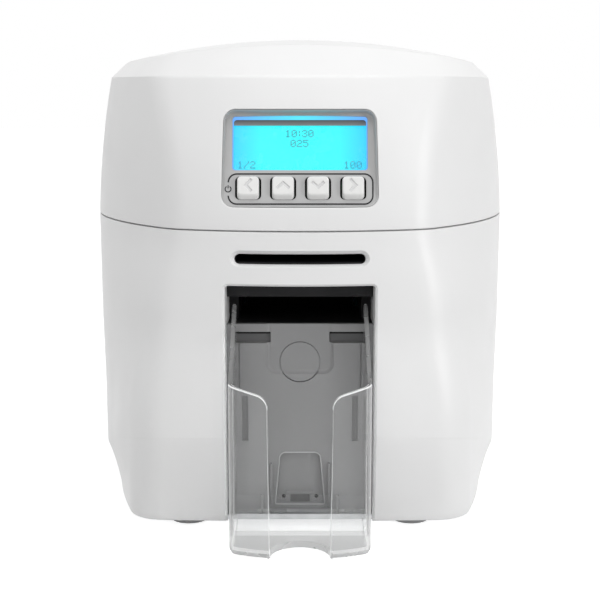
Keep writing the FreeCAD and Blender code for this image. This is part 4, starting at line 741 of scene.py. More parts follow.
def bands(steps: Iterable[tuple[int, int]], width: int) -> list[Sequence[int]]:
    """Give the faces between rings of points."""
    return [(a * width + i, a * width + (i + 1) % width, b * width + (i + 1) % width, b * width + i)
            for a, b in steps for i in range(width)]


@dataclass(frozen=True)
class Workshop:
    """Makes meshes, in metres, from places in millimetres."""

    front_y: float

    def at(self, x: float, y: float, z: float) -> Vector:
        """Give a place in the frame, in metres."""
        return Vector((x * MM, self.front_y + y * MM, z * MM))

    def mesh(self, name: str, points: Sequence[Vector], faces: Sequence[Sequence[int]],
             marks: Sequence[int] = (), skins: Sequence[bpy.types.Material] = ()) -> Piece:
        """Make an object of faces.

        Args:
            name: the piece's name.
            points: its corners.
            faces: corner numbers of each face.
            marks: number of each face's material, where there is more than one.
            skins: the materials that the numbers mean.

        Returns:
            The object, its faces turned outwards.
        """
        data = bpy.data.meshes.new(name)
        data.from_pydata([self.at(*p) for p in points], [], faces)
        for skin in skins:
            data.materials.append(skin)
        for face, mark in zip(data.polygons, marks if skins else ()):
            face.material_index = mark
        work = bmesh.new()
        work.from_mesh(data)
        bmesh.ops.remove_doubles(work, verts=work.verts, dist=1e-7)
        bmesh.ops.recalc_face_normals(work, faces=work.faces)
        work.to_mesh(data)
        work.free()
        made = bpy.data.objects.new(name, data)
        bpy.context.scene.collection.objects.link(made)
        return made

    def rings(self, name: str, rings: Sequence[Ring], loop: bool = False,
              mark: Callable[[int, int], int] | None = None,
              skins: Sequence[bpy.types.Material] = ()) -> Piece:
        """Make a solid from rings that have the same number of points.

        Args:
            name: the piece's name.
            rings: the rings in order.
            loop: whether the last ring joins the first, where otherwise both are closed by a face.
            mark: gives the material number of the face after a ring and a point.
            skins: the materials that those numbers mean.

        Returns:
            The object.
        """
        width = len(rings[0])
        last = len(rings) - 1
        steps = [(a, a + 1) for a in range(last)]
        if loop:
            steps.append((last, 0))
        faces = bands(steps, width)
        marks = [mark(a, i) if mark else 0 for a, _ in steps for i in range(width)]
        if not loop:
            faces += [tuple(range(width)), tuple(range(last * width, (last + 1) * width))]
            marks += [0, 0]
        return self.mesh(name, [p for ring in rings for p in ring], faces, marks, skins)

    def stack(self, name: str, sight: Sight, points: Loop, steps: Sequence[Pair],
              loop: bool = False) -> Piece:
        """Make a solid from one outline that is moved out or in from level to level."""
        rings = [[sight.place(u, v, level) for u, v in offset(points, out)] for out, level in steps]
        return self.rings(name, rings, loop)

    def slab(self, name: str, sight: Sight, points: Loop, low: float, high: float) -> Piece:
        """Make a plain solid from an outline between two levels."""
        return self.stack(name, sight, points, ((0.0, low), (0.0, high)))


def settle(piece: Piece) -> None:
    """Make a piece's modifiers part of its mesh.

    Args:
        piece: the piece.
    """
    graph = bpy.context.evaluated_depsgraph_get()
    data = bpy.data.meshes.new_from_object(piece.evaluated_get(graph))
    old = piece.data
    piece.modifiers.clear()
    piece.data = data
    bpy.data.meshes.remove(old)


def merge(pieces: Sequence[Piece], name: str) -> Piece:
    """Put the meshes of several pieces into the first.

    Args:
        pieces: the pieces, which end up as one.
        name: the name of the result.

    Returns:
        The one piece.
    """
    work = bmesh.new()
    for piece in pieces:
        work.from_mesh(piece.data)
    work.to_mesh(pieces[0].data)
    work.free()
    for piece in pieces[1:]:
        bpy.data.objects.remove(piece)
    pieces[0].name = name
    return pieces[0]


class Change(Enum):
    """What a tool does to a piece."""

    JOIN = "UNION"
    CUT = "DIFFERENCE"
    KEEP = "INTERSECT"


def combine(piece: Piece, tool: Piece, change: Change) -> None:
    """Change a piece with a tool, and drop the tool.

    Args:
        piece: the piece that changes.
        tool: the other solid.
        change: whether the tool is joined on, cut out, or all that is kept.
    """
    shape = piece.modifiers.new("shape", "BOOLEAN")
    shape.operation = change.value
    shape.solver = "EXACT"
    shape.object = tool
    settle(piece)
    bpy.data.objects.remove(tool)


def shade(piece: Piece, angle: float = 34.0) -> None:
    """Shade a piece smoothly, so that large faces keep their own normal where they meet narrow ones.

    Args:
        piece: the piece.
        angle: turn between two faces, in degrees, from which their edge is sharp.
    """
    piece.data.shade_smooth()
    piece.data.set_sharp_from_angle(angle=math.radians(angle))
    normals = piece.modifiers.new("normals", "WEIGHTED_NORMAL")
    normals.keep_sharp = True
    normals.weight = 60


def soften(piece: Piece, width: float, angle: float = 40.0) -> None:
    """Round a piece's sharp edges with modifiers.

    Args:
        piece: the piece, which keeps its own mesh.
        width: width of the rounding.
        angle: least turn, in degrees, of an edge that is rounded.
    """
    weld = piece.modifiers.new("weld", "WELD")
    weld.merge_threshold = 2e-6
    bevel = piece.modifiers.new("rounding", "BEVEL")
    bevel.width = width * MM
    bevel.segments = 2
    bevel.limit_method = "ANGLE"
    bevel.angle_limit = math.radians(angle)
    bevel.harden_normals = True


class Skin:
    """Finds the outer face of a casing half."""

    reach = 400.0

    def __init__(self, rings: Sequence[Ring], closed: bool) -> None:
        """Keep the outer face.

        Args:
            rings: its rings in order.
            closed: whether the last ring is closed by a face.
        """
        width = len(rings[0])
        last = len(rings) - 1
        faces = bands([(a, a + 1) for a in range(last)], width)
        if closed:
            faces.append(tuple(range(last * width, (last + 1) * width)))
        self.tree = BVHTree.FromPolygons([p for ring in rings for p in ring], faces)

    def depth(self, sight: Sight, u: float, v: float) -> float:
        """Give how far out the skin lies at a place of a view.

        Args:
            sight: the view.
            u: place across.
            v: place up.

        Returns:
            The distance along the way out.
        """
        hit = self.tree.ray_cast(sight.place(u, v, self.reach), -sight.out)
        if hit[0] is None:
            raise ValueError(f"no skin at {u:.1f}, {v:.1f}")
        return self.reach - hit[3]


ROUND_LIP: tuple[Pair, ...] = ((1.05, -0.12), (0.66, 0.06), (0.36, 0.234), (0.134, 0.5), (0.034, 0.74),
                               (0.0, 1.0))
BEVELLED_LIP: tuple[Pair, ...] = ((1.06, -0.05), (1.0, 0.0), (0.16, 1.0), (0.07, 1.15), (0.02, 1.3),
                                  (0.0, 1.6))


@dataclass(frozen=True)
class Opening:
    """Hole through a casing half, with a lip that follows the skin.

    The lip's profile is a row of shares of its width: how far out of the hole, and how deep under the skin.
    """

    sight: Sight
    patch: Patch
    lip: float
    outer: float
    inner: float
    lowest: float = -1000.0
    low_share: float = 1.0
    taper: float = 0.0
    profile: tuple[Pair, ...] = ROUND_LIP

    def base(self) -> Loop:
        """Give the hole's outline."""
        return tapered(self.patch.loop(), self.patch.v0, self.patch.v1, self.taper)

    def widened(self, by: float) -> Loop:
        """Give the outline's own points, moved out by an amount.

        Args:
            by: how far out.

        Returns:
            As many points as the outline itself has.
        """
        patch, corner = self.patch, self.patch.corner
        moved: Loop = []
        for u, v in self.base():
            u_in = min(max(u, patch.u0 + corner), patch.u1 - corner)
            v_in = min(max(v, patch.v0 + corner), patch.v1 - corner)
            length = math.hypot(u - u_in, v - v_in) or 1.0
            rise = (v - v_in) / length * by
            moved.append((u + (u - u_in) / length * by, v + rise * (self.low_share if rise < 0 else 1.0)))
        return moved

    def cutter(self, shop: Workshop, skin: Skin) -> Piece:
        """Make the solid that cuts the hole.

        Args:
            shop: makes the mesh.
            skin: the face that the lip follows.

        Returns:
            The solid.
        """
        place, lip = self.sight.place, self.lip
        rings = [[place(u, v, self.outer) for u, v in self.widened(lip * self.profile[0][0])]]
        for grow, sink in self.profile:
            rings.append([place(u, v, skin.depth(self.sight, u, max(v, self.lowest)) - lip * sink)
                          for u, v in self.widened(lip * grow)])
        rings.append([place(u, v, self.inner) for u, v in self.base()])
        return shop.rings("opening", rings)


# The casing


WIDE_Y = 118.0
PLAN_STEPS = {"front": 34, "corner": 14, "side": 24, "run": 14, "rear": 12, "back": 20}


def eased(share: float) -> float:
    """Give a share that starts and ends gently."""
    return share * share * (3 - 2 * share)


def mixed(first: Sequence[float], last: Sequence[float], share: float) -> list[float]:
    """Mix two rows of numbers."""
    return [a + (b - a) * share for a, b in zip(first, last)]


def lifted(points: Loop, z: float) -> Ring:
    """Give an outline at one height."""
    return [Vector((x, y, z)) for x, y in points]


def between(first: Ring, last: Ring, share: float) -> Ring:
    """Give the ring a share of the way between two rings."""
    return [a.lerp(b, share) for a, b in zip(first, last)]


@dataclass(frozen=True)
class Plan:
    """Outline of the casing at one height, seen from above.

    Its three radii are those of the bowed front, the front corners and the bowed sides.
    """

    front: float
    half: float
    back: float
    radii: Triple
    rear: float

    def inset(self, by: float) -> "Plan":
        """Give the outline drawn in by an amount."""
        radii = tuple(r - by for r in self.radii)
        return Plan(self.front + by, self.half - by, self.back - by, radii, self.rear - by)

    def corner_hub(self, front_hub: Pair, side_hub: Pair) -> Pair:
        """Give the middle of the right front corner, which touches the front's and the side's bow.

        Args:
            front_hub: middle of the front's bow.
            side_hub: middle of the side's bow.

        Returns:
            The place.
        """
        front_r, corner_r, side_r = self.radii
        link = (side_hub[0] - front_hub[0], side_hub[1] - front_hub[1])
        length = math.hypot(*link)
        along = ((front_r - corner_r) ** 2 - (side_r - corner_r) ** 2 + length ** 2) / (2 * length)
        aside = math.sqrt(max((front_r - corner_r) ** 2 - along ** 2, 0.0))
        unit = (link[0] / length, link[1] / length)
        hubs = [(front_hub[0] + unit[0] * along - unit[1] * aside * turn,
                 front_hub[1] + unit[1] * along + unit[0] * aside * turn) for turn in (1, -1)]
        return max(hubs, key=lambda hub: hub[0] - hub[1])

    def points(self) -> Loop:
        """Give the outline's points.

        Returns:
            Always as many, in the same order.
        """
        front_r, corner_r, side_r = self.radii
        front_hub = (0.0, self.front + front_r)
        side_hub = (self.half - side_r, WIDE_Y)
        hub = self.corner_hub(front_hub, side_hub)
        first = math.atan2(hub[1] - front_hub[1], hub[0] - front_hub[0])
        second = math.atan2(hub[1] - side_hub[1], hub[0] - side_hub[0])
        steps = PLAN_STEPS
        inner = self.half - self.rear
        run = self.back - self.rear - WIDE_Y
        right = arc(front_hub, front_r, -math.pi / 2, first, steps["front"])
        right += arc(hub, corner_r, first, second, steps["corner"])
        right += arc(side_hub, side_r, second, 0.0, steps["side"])
        right += [(self.half, WIDE_Y + run * i / steps["run"]) for i in range(steps["run"])]
        right += arc((inner, self.back - self.rear), self.rear, 0.0, math.pi / 2, steps["rear"])
        right += [(inner * (1 - i / steps["back"]), self.back) for i in range(steps["back"] + 1)]
        left = [(-x, y) for x, y in right[1:-1]]
        return right + left[::-1]


@dataclass(frozen=True)
class Casing:
    """Sizes that both halves of the casing share.

    The seam, belly and crease rows give half the width and the radii of a plan.
    """

    seam_z: float = 144.0
    seam_gap: float = 0.6
    seam_edge: float = 0.45
    seam_shares: tuple[Pair, ...] = ((1.0, 0.0), (0.3, 0.3), (0.0, 1.0))
    back: float = 233.0
    wall: float = 2.6
    rear: float = 28.0
    seam: tuple[float, ...] = (107.2, 170.0, 28.0, 143.5)
    belly: tuple[float, ...] = (106.8, 230.0, 29.0, 170.0)
    crease: tuple[float, ...] = (105.2, 407.0, 26.0, 225.0)
    belly_share: float = 0.45
    crease_z: float = 46.5
    crease_fall: float = 0.287
    crease_back_z: float = 11.0
    collar_z: float = 48.5
    foot: Plan = Plan(8.4, 97.3, 231.4, (1500.0, 18.0, 320.0), 26.0)
    foot_z: float = 4.0
    hem_rise: float = 4.6
    hem_out: float = 0.5

    def section(self, z: float) -> Plan:
        """Give the lower case's outline at a height above the collar.

        Args:
            z: the height.

        Returns:
            The outline.
        """
        share = (self.seam_z - z) / (self.seam_z - self.collar_z)
        if share <= 0:
            row = list(self.seam)
        elif share < self.belly_share:
            row = mixed(self.seam, self.belly, eased(share / self.belly_share))
        else:
            low_share = (share - self.belly_share) / (1 - self.belly_share)
            row = mixed(self.belly, self.crease, eased(min(low_share, 1.0)))
        return Plan(0.0, row[0], self.back, (row[1], row[2], row[3]), self.rear)

    def crease_height(self, y: float) -> float:
        """Give the height of the falling crease.

        Args:
            y: place back from the front.

        Returns:
            The height.
        """
        if y <= WIDE_Y:
            return self.crease_z - self.crease_fall * y
        fallen = self.crease_z - self.crease_fall * WIDE_Y
        share = min((y - WIDE_Y) / (self.back - self.rear - WIDE_Y), 1.0)
        return fallen + (self.crease_back_z - fallen) * share


@dataclass
class Assembly:
    """Sub-assembly that builds its pieces and dresses them."""

    shop: Workshop
    wardrobe: Wardrobe

    def build(self) -> Pieces:
        """Make the meshes, by the pieces' names."""
        raise NotImplementedError(type(self).__name__)

    def dress(self, pieces: Pieces) -> None:
        """Put the pieces on their bodies and give them their finishes."""
        raise NotImplementedError(type(self).__name__)

    def install(self) -> Pieces:
        """Build the pieces and dress them.

        Returns:
            The finished pieces by name.
        """
        pieces = self.build()
        self.dress(pieces)
        return pieces

    def place(self, piece: Piece, body: str, slot: Slot, *nodes: str) -> None:
        """Put a piece on its body, and hide the nodes of the record that it stands for.

        Args:
            piece: the piece.
            body: the body it moves with.
            slot: the finish; not used.
            nodes: the nodes.
        """
        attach(piece, body)
        if nodes:
            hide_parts(*nodes)

    def fit(self, piece: Piece, body: str, slot: Slot, *nodes: str, finish: Finish | None = None) -> None:
        """Place a piece and put one finish on it."""
        self.place(piece, body, slot, *nodes)
        self.wardrobe.dress(piece, finish or FINISHES[slot])


@dataclass
class CasingHalf(Assembly):
    """Half of the casing: a thin shell, a sleeve behind its large opening, and holes with lips."""

    casing: Casing
    closed = False

    def outer_rings(self) -> list[Ring]:
        """Give the rings of the outer face, from the seam."""
        raise NotImplementedError(type(self).__name__)

    def shell(self) -> Piece:
        """Make the closed shell."""
        raise NotImplementedError(type(self).__name__)

    def sleeve(self) -> Piece:
        """Make the block that the walls of the large opening are cut from."""
        raise NotImplementedError(type(self).__name__)

    def openings(self) -> list[Opening]:
        """Give every hole."""
        raise NotImplementedError(type(self).__name__)

    @cached_property
    def skin(self) -> Skin:
        """Give the outer face."""
        return Skin(self.outer_rings(), self.closed)

    def build(self) -> Pieces:
        """Make the half: join the sleeve to its shell and cut every hole.

        Returns:
            The one piece by its name.
        """
        half = self.shell()
        combine(half, self.sleeve(), Change.JOIN)
        cutters = [hole.cutter(self.shop, self.skin) for hole in self.openings()]
        combine(half, merge(cutters, "cutters"), Change.CUT)
        shade(half)
        return {half.name: half}


@dataclass
class LowerCase(CasingHalf):
    """White lower half of the casing, with the card slot, the tray bay and the back openings."""

    levels: int = 22
    inner_levels: int = 8
    lip_height: float = 3.0
    lip_gap: float = 0.4
    lip_wall: float = 1.6
    lip_root: float = 6.0
    lip_edge: float = 0.3
    lip_slope: float = 0.6
    collar_shares: tuple[float, ...] = (0.3, 0.6, 0.85)
    collar_rise: float = 1.2
    crease_step: float = 0.18
    skirt_shares: tuple[float, ...] = (0.15, 0.3, 0.5, 0.7, 0.9)
    foot_steps: tuple[Pair, ...] = ((0.3, 0.25), (0.9, 0.0))
    slot_z: float = 131.1
    slot_half: float = 30.0
    slot_half_height: float = 2.3
    slot_bevel: float = 1.9
    bay_half: float = 35.6
    bay_top: float = 119.8
    bay_wall: float = 2.2
    bay_back: float = 42.0
    bay_lip: float = 1.1
    bay_low: float = 6.5
    door: Patch = Patch.across(31.0, 38.0, 134.0, 0.6)
    sockets: Patch = Patch(45.4, 87.0, 12.0, 31.0, 2.0)
    vent: Patch = Patch(-79.0, -45.0, -1.3, 1.3, 1.0)
    vent_z: float = 78.0
    vent_pitch: float = 5.6
    vents: int = 6

    def crease_ring(self, inset: float) -> Ring:
        """Give the ring along the falling crease, drawn in by an amount."""
        points = self.casing.section(self.casing.collar_z).inset(inset).points()
        return [Vector((x, y, self.casing.crease_height(y))) for x, y in points]

    def skirt(self, inset: float) -> tuple[Ring, Ring, Ring]:
        """Give the crease, hem and foot rings.

        Args:
            inset: how far they are drawn in.

        Returns:
            The three rings from the top down.
        """
        casing = self.casing
        hem = lifted(casing.foot.inset(inset - casing.hem_out).points(), casing.foot_z + casing.hem_rise)
        foot = lifted(casing.foot.inset(inset).points(), casing.foot_z)
        return self.crease_ring(inset), hem, foot

    def outer_rings(self) -> list[Ring]:
        """Give the rings of the outer face.

        Returns:
            The rings from the seam down to the foot.
        """
        casing = self.casing
        top = casing.seam_z - casing.seam_gap / 2
        edge = casing.seam_edge
        rings = [lifted(casing.section(top).inset(edge * share).points(), top - edge * drop)
                 for share, drop in casing.seam_shares]
        start = top - edge
        for i in range(1, self.levels + 1):
            z = start + (casing.collar_z - start) * i / self.levels
            rings.append(lifted(casing.section(z).points(), z))
        collar = rings[-1]
        crease, hem, foot = self.skirt(0.0)
        near = [p + UPWARDS * self.collar_rise for p in crease]
        rings += [between(collar, near, share) for share in self.collar_shares]
        rings += [near, self.crease_ring(self.crease_step), between(crease, hem, 0.04)]
        rings += [between(crease, hem, share) for share in self.skirt_shares]
        rings += [hem, between(hem, foot, 0.25), between(hem, foot, 0.8)]
        return rings + [lifted(casing.foot.inset(inset).points(), casing.foot_z + rise)
                        for inset, rise in self.foot_steps]

    def inner_rings(self) -> list[Ring]:
        """Give the rings of the inner face.

        Returns:
            The rings from the foot up to the lip, which the lid closes over, and back to the seam.
        """
        casing = self.casing
        wall = casing.wall
        crease, hem, foot = self.skirt(wall)
        rings = [foot, between(foot, hem, 0.5), hem, between(hem, crease, 0.5), crease]
        top = casing.seam_z - casing.seam_gap / 2
        root = top - self.lip_root
        for i in range(self.inner_levels + 1):
            z = casing.collar_z + (root - casing.collar_z) * i / self.inner_levels
            rings.append(lifted(casing.section(z).inset(wall).points(), z))
        far = wall + self.lip_gap + self.lip_wall
        near = wall + self.lip_gap
        edge = self.lip_edge
        lip_top = casing.seam_z + self.lip_height
        seam = casing.section(casing.seam_z)
        steps = ((far, root + self.lip_slope), (far, top), (far, lip_top - edge), (far - edge, lip_top),
                 (near + edge, lip_top), (near, lip_top - edge), (near, top))
        return rings + [lifted(seam.inset(inset).points(), z) for inset, z in steps]

    def shell(self) -> Piece:
        """Make the closed shell."""
        return self.shop.rings("lower_casing", self.outer_rings() + self.inner_rings(), loop=True)

    def sleeve(self) -> Piece:
        """Make the block that the walls of the bay are cut from.

        Returns:
            The block.
        """
        half = self.bay_half + self.bay_wall
        loop = Patch.across(half, self.bay_low, self.bay_top + self.bay_wall, 3.0).loop()
        lowest = self.bay_low + 0.1
        front = [FRONT.place(u, v, self.skin.depth(FRONT, u, max(v, lowest)) - 1.1) for u, v in loop]
        back = [FRONT.place(u, v, -self.bay_back) for u, v in loop]
        return self.shop.rings("sleeve", [front, back])

    def openings(self) -> list[Opening]:
        """Give every hole through the case.

        Returns:
            The slot, the bay, the hopper door's hole, the sockets' hole and the vents.
        """
        tall = self.slot_half_height
        slot = Patch.across(self.slot_half, self.slot_z - tall, self.slot_z + tall, tall - 0.01)
        bay = Patch.across(self.bay_half - 1.0, -30.0, self.bay_top - 1.1, 1.6)
        outer, inner = self.casing.back + 4.0, self.casing.back - 5.0
        holes = [Opening(FRONT, slot, self.slot_bevel, 6.0, -12.0, low_share=0.6, profile=BEVELLED_LIP),
                 Opening(FRONT, bay, self.bay_lip, 8.0, -self.bay_back - 1.0, 5.2, profile=BEVELLED_LIP),
                 Opening(BACK, self.door, 0.3, outer, inner), Opening(BACK, self.sockets, 0.4, outer, inner)]
        for i in range(self.vents):
            z = self.vent_z + (i - (self.vents - 1) / 2) * self.vent_pitch
            holes.append(Opening(BACK, self.vent.moved(0.0, z), 0.35, outer, inner))
        return holes

    def dress(self, pieces: Pieces) -> None:
        """Put the case on the chassis, in white."""
        self.fit(pieces["lower_casing"], "chassis", Slot.SHELL, "lower_case")


@dataclass
class LidShell(CasingHalf):
    """White lid with its domed roof, vents and display opening."""

    crease_z: float = 213.5
    front_lean: float = 172.5
    side_lean: float = 435.0
    side_lean_z: float = 130.0
    back_lean: float = 500.0
    crease_radii: Triple = (150.0, 30.0, 138.0)
    levels: int = 18
    inner_levels: int = 10
    top_z: float = 240.0
    top_runs: Triple = (32.9, 28.0, 27.0)
    top_radii: Triple = (110.0, 12.0, 104.0)
    crest_z: float = 232.3
    crest_y: float = 100.0
    across_r: float = 354.0
    front_r: float = 560.0
    back_r: float = 1400.0
    middle_y: float = 122.0
    chamfer_shares: tuple[float, ...] = (0.05, 0.2, 0.4, 0.6, 0.8, 0.95)
    roof_shares: tuple[float, ...] = (1.0, 0.985, 0.95, 0.9, 0.84, 0.77, 0.69, 0.6, 0.5, 0.4, 0.3, 0.2,
                                      0.1, 0.03)
    ceiling_shares: tuple[float, ...] = (1.0, 0.9, 0.75, 0.6, 0.45, 0.3, 0.15, 0.03)
    panel_half: float = 35.85
    panel_low: float = -0.65
    panel_height: float = 44.8
    panel_corner: float = 5.5
    panel_wall: float = 1.8
    vent: Patch = Patch(-1.3, 1.3, 90.0, 128.0, 1.0)
    vents: tuple[float, ...] = (6.2, 16.4, 26.6)
    closed = True

    def plan(self, z: float) -> Plan:
        """Give the wall's outline at a height.

        Args:
            z: the height.

        Returns:
            The outline.
        """
        casing = self.casing
        rise = max(z - casing.seam_z, 0.0)
        share = rise / (self.crease_z - casing.seam_z)
        lean = (z - self.side_lean_z) ** 2 - (casing.seam_z - self.side_lean_z) ** 2
        radii = tuple(mixed(casing.seam[1:], self.crease_radii, share))
        return Plan(rise ** 2 / (2 * self.front_lean), casing.seam[0] - lean / (2 * self.side_lean),
                    casing.back - rise ** 2 / (2 * self.back_lean), radii, casing.rear)

    def roof(self, x: float, y: float, inset: float) -> float:
        """Give the roof's height at a place.

        Args:
            x: place across.
            y: place back from the front.
            inset: depth under the outer face.

        Returns:
            The height.
        """
        hub = self.crest_z - self.across_r
        top = hub + self.across_r - inset
        radius = (self.front_r if y < self.crest_y else self.back_r) - inset
        profile = top - radius + math.sqrt(radius ** 2 - (y - self.crest_y) ** 2)
        return hub + math.sqrt((profile - hub) ** 2 - x * x)

    def shoulder(self, crease: Ring, inset: float) -> Ring:
        """Give the ring where the chamfer meets the roof.

        Args:
            crease: the ring at the chamfer's foot.
            inset: depth under the outer face.

        Returns:
            The ring.
        """
        plan = self.plan(self.crease_z)
        front, side, back = self.top_runs
        high = Plan(plan.front + front, plan.half - side, plan.back - back, self.top_radii,
                    self.top_radii[1]).inset(inset)
        ring = []
        for low, (x, y) in zip(crease, high.points()):
            far = Vector((x, y, self.top_z))
            lower, upper = 0.0, 1.0
            for _ in range(30):
                middle = (lower + upper) / 2
                point = low.lerp(far, middle)
                if point.z < self.roof(point.x, point.y, inset):
                    lower = middle
                else:
                    upper = middle
            ring.append(low.lerp(far, lower))
        return ring

    def cap(self, inset: float, shares: Sequence[float]) -> list[Ring]:
        """Give the rings from the crease over the shoulder to the middle of the roof.

        Args:
            inset: depth under the outer face.
            shares: how far each roof ring stands from the middle.

        Returns:
            The rings.
        """
        crease_z = self.crease_z - inset * 0.4
        crease = lifted(self.plan(crease_z).inset(inset).points(), crease_z)
        edge = self.shoulder(crease, inset)
        rings = [crease] + [between(crease, edge, share) for share in self.chamfer_shares]
        for share in shares:
            spots = [(p.x * share, self.middle_y + (p.y - self.middle_y) * share) for p in edge]
            rings.append([Vector((x, y, self.roof(x, y, inset))) for x, y in spots])
        return rings

    def outer_rings(self) -> list[Ring]:
        """Give the rings of the outer face.

        Returns:
            The rings from the seam up to the middle of the roof.
        """
        low = self.casing.seam_z + self.casing.seam_gap / 2
        edge = self.casing.seam_edge
        rings = [lifted(self.plan(low).inset(edge * share).points(), low + edge * rise)
                 for share, rise in self.casing.seam_shares]
        start = low + edge
        run = self.crease_z - 1.2 - start
        heights = [start + run * i / self.levels for i in range(1, self.levels + 1)]
        rings += [lifted(self.plan(z).points(), z) for z in heights]
        return rings + self.cap(0.0, self.roof_shares)

    def inner_rings(self) -> list[Ring]:
        """Give the rings of the inner face.

        Returns:
            The rings from the middle of the roof down to the seam.
        """
        wall = self.casing.wall
        low = self.casing.seam_z + self.casing.seam_gap / 2
        rings = self.cap(wall, self.ceiling_shares)[::-1]
        run = self.crease_z - 3.0 - low
        heights = [low + 0.4 + run * i / self.inner_levels for i in range(self.inner_levels, -1, -1)]
        rings += [lifted(self.plan(z).inset(wall).points(), z) for z in heights]
        rings.append(lifted(self.plan(low).inset(wall - 0.4).points(), low))
        return rings

    def shell(self) -> Piece:
        """Make the closed shell from its two faces, each with a fan in the middle of the roof.

        Returns:
            The shell.
        """
        outer = self.outer_rings()
        rings = outer + self.inner_rings()
        width, count, total = len(outer[0]), len(outer), len(rings)
        points = [p for ring in rings for p in ring]
        steps = [(a, a + 1) for a in range(total - 1) if a != count - 1] + [(total - 1, 0)]
        faces = bands(steps, width)
        for ring, depth in ((count - 1, 0.0), (count, self.casing.wall)):
            y = sum(p.y for p in rings[ring]) / width
            faces += [(ring * width + i, ring * width + (i + 1) % width, len(points)) for i in range(width)]
            points.append(Vector((0.0, y, self.roof(0.0, y, depth))))
        return self.shop.mesh("lid_casing", points, faces)

    def sleeve(self) -> Piece:
        """Make the block that the walls behind the display opening are cut from.

        Returns:
            The block.
        """
        wall = self.panel_wall
        loop = Patch.across(self.panel_half + wall, -wall, self.panel_height + wall,
                            self.panel_corner + wall).loop()
        back = [PANEL.place(u, v, -3.2) for u, v in loop]
        front = [FRONT.place(p.x, p.z, self.skin.depth(FRONT, p.x, p.z) - 1.2) for p in back]
        return self.shop.rings("sleeve", [front, back])

    def openings(self) -> list[Opening]:
        """Give every hole through the lid.

        Returns:
            The display opening and the vents.
        """
        low = PANEL.place(0.0, self.panel_low, 0.0).z
        high = PANEL.place(0.0, self.panel_height, 0.0).z
        display = Patch.across(self.panel_half, low, high, self.panel_corner)
        holes = [Opening(FRONT, display, 0.45, 8.0, -21.0, taper=PANEL_TAPER)]
        for x in self.vents:
            vent = self.vent.moved(x)
            holes += [Opening(ABOVE, vent.on(side), 0.35, 250.0, 224.0) for side in SIDES]
        return holes

    def dress(self, pieces: Pieces) -> None:
        """Put the lid on its body, in white."""
        self.fit(pieces["lid_casing"], "lid", Slot.SHELL, "lid_shell")


@dataclass
class Knuckles(Assembly):
    """Hinge barrels on both sides, with the leaves that join them to a wall above or below."""

    name: str
    body: str
    spans: tuple[Pair, ...]
    leaf_end: float
    y: float = 236.7
    z: float = 144.0
    radius: float = 3.2
    wall_face: float = 231.8
    bevel: float = 1.5
    root_share: float = 0.4
    neck_share: float = 0.35
    end_share: float = 0.93
    end_run: float = 0.3

    def outline(self) -> Loop:
        """Give the outline of a barrel with its leaf, seen from the side.

        Returns:
            Places back and up.
        """
        y, z, r, wall = self.y, self.z, self.radius, self.wall_face
        root, neck, bevel, end = r * self.root_share, y + r * self.neck_share, self.bevel, self.leaf_end
        circle = arc((y, z), r, math.radians(-90), math.radians(90), 18)
        circle.append((y, z + r))
        if end > z:
            return [(wall, z - root), (y, z - r), *circle[1:-4], (neck, z + r), (y, end - bevel),
                    (y - bevel, end), (wall, end)]
        return [(wall, end), (y - bevel, end), (y, end + bevel), (neck, z - r), *circle[4:], (wall, z + root)]

    def barrel(self, x0: float, x1: float) -> Piece:
        """Make one barrel.

        Args:
            x0: its first end.
            x1: its other end.

        Returns:
            The barrel.
        """
        shape = self.outline()
        middle = Vector((sum(p[0] for p in shape) / len(shape), sum(p[1] for p in shape) / len(shape)))
        low, high = min(x0, x1), max(x0, x1)
        rings = []
        for x, share in ((low, self.end_share), (low + self.end_run, 1.0), (high - self.end_run, 1.0),
                         (high, self.end_share)):
            spots = [middle + (Vector(p) - middle) * share for p in shape]
            rings.append([Vector((x, spot.x, spot.y)) for spot in spots])
        return self.shop.rings("barrel", rings)

    def build(self) -> Pieces:
        """Make the barrels.

        Returns:
            The one piece by its name.
        """
        barrels = [self.barrel(side * x0, side * x1) for x0, x1 in self.spans for side in SIDES]
        piece = merge(barrels, self.name)
        shade(piece)
        return {self.name: piece}

    def dress(self, pieces: Pieces) -> None:
        """Put the barrels on their body, in white."""
        self.fit(pieces[self.name], self.body, Slot.SHELL)


# The tray bay


@dataclass
class Relief:
    """Solids that cut a pattern into a flat face."""

    shop: Workshop
    sight: Sight
    level: float = 0.0

    def pocket(self, points: Loop, depth: float, slope: float = 0.25) -> Piece:
        """Make the solid of a pocket with sloping walls and a soft edge."""
        steps = ((0.35, 0.4), (0.1, 0.02), (0.0, -0.14), (-slope * 0.8, 0.16 - depth), (-slope, -depth))
        return self.shop.stack("pocket", self.sight, points, [(out, self.level + h) for out, h in steps])

    def groove(self, centre: Pair, radius: float, width: float, depth: float) -> Piece:
        """Make the solid of a ring-shaped groove.

        Args:
            centre: the ring's middle.
            radius: its radius.
            width: width at the face.
            depth: how deep it goes.

        Returns:
            The solid.
        """
        profile = ((-width, 0.3), (width, 0.3), (width / 2, 0.0), (width / 4, -depth), (-width / 4, -depth),
                   (-width / 2, 0.0))
        rings = []
        for i in range(72):
            turn = math.tau * i / 72
            rings.append([self.sight.place(centre[0] + (radius + r) * math.cos(turn),
                                           centre[1] + (radius + r) * math.sin(turn), self.level + h)
                          for r, h in profile])
        return self.shop.rings("groove", rings, loop=True)


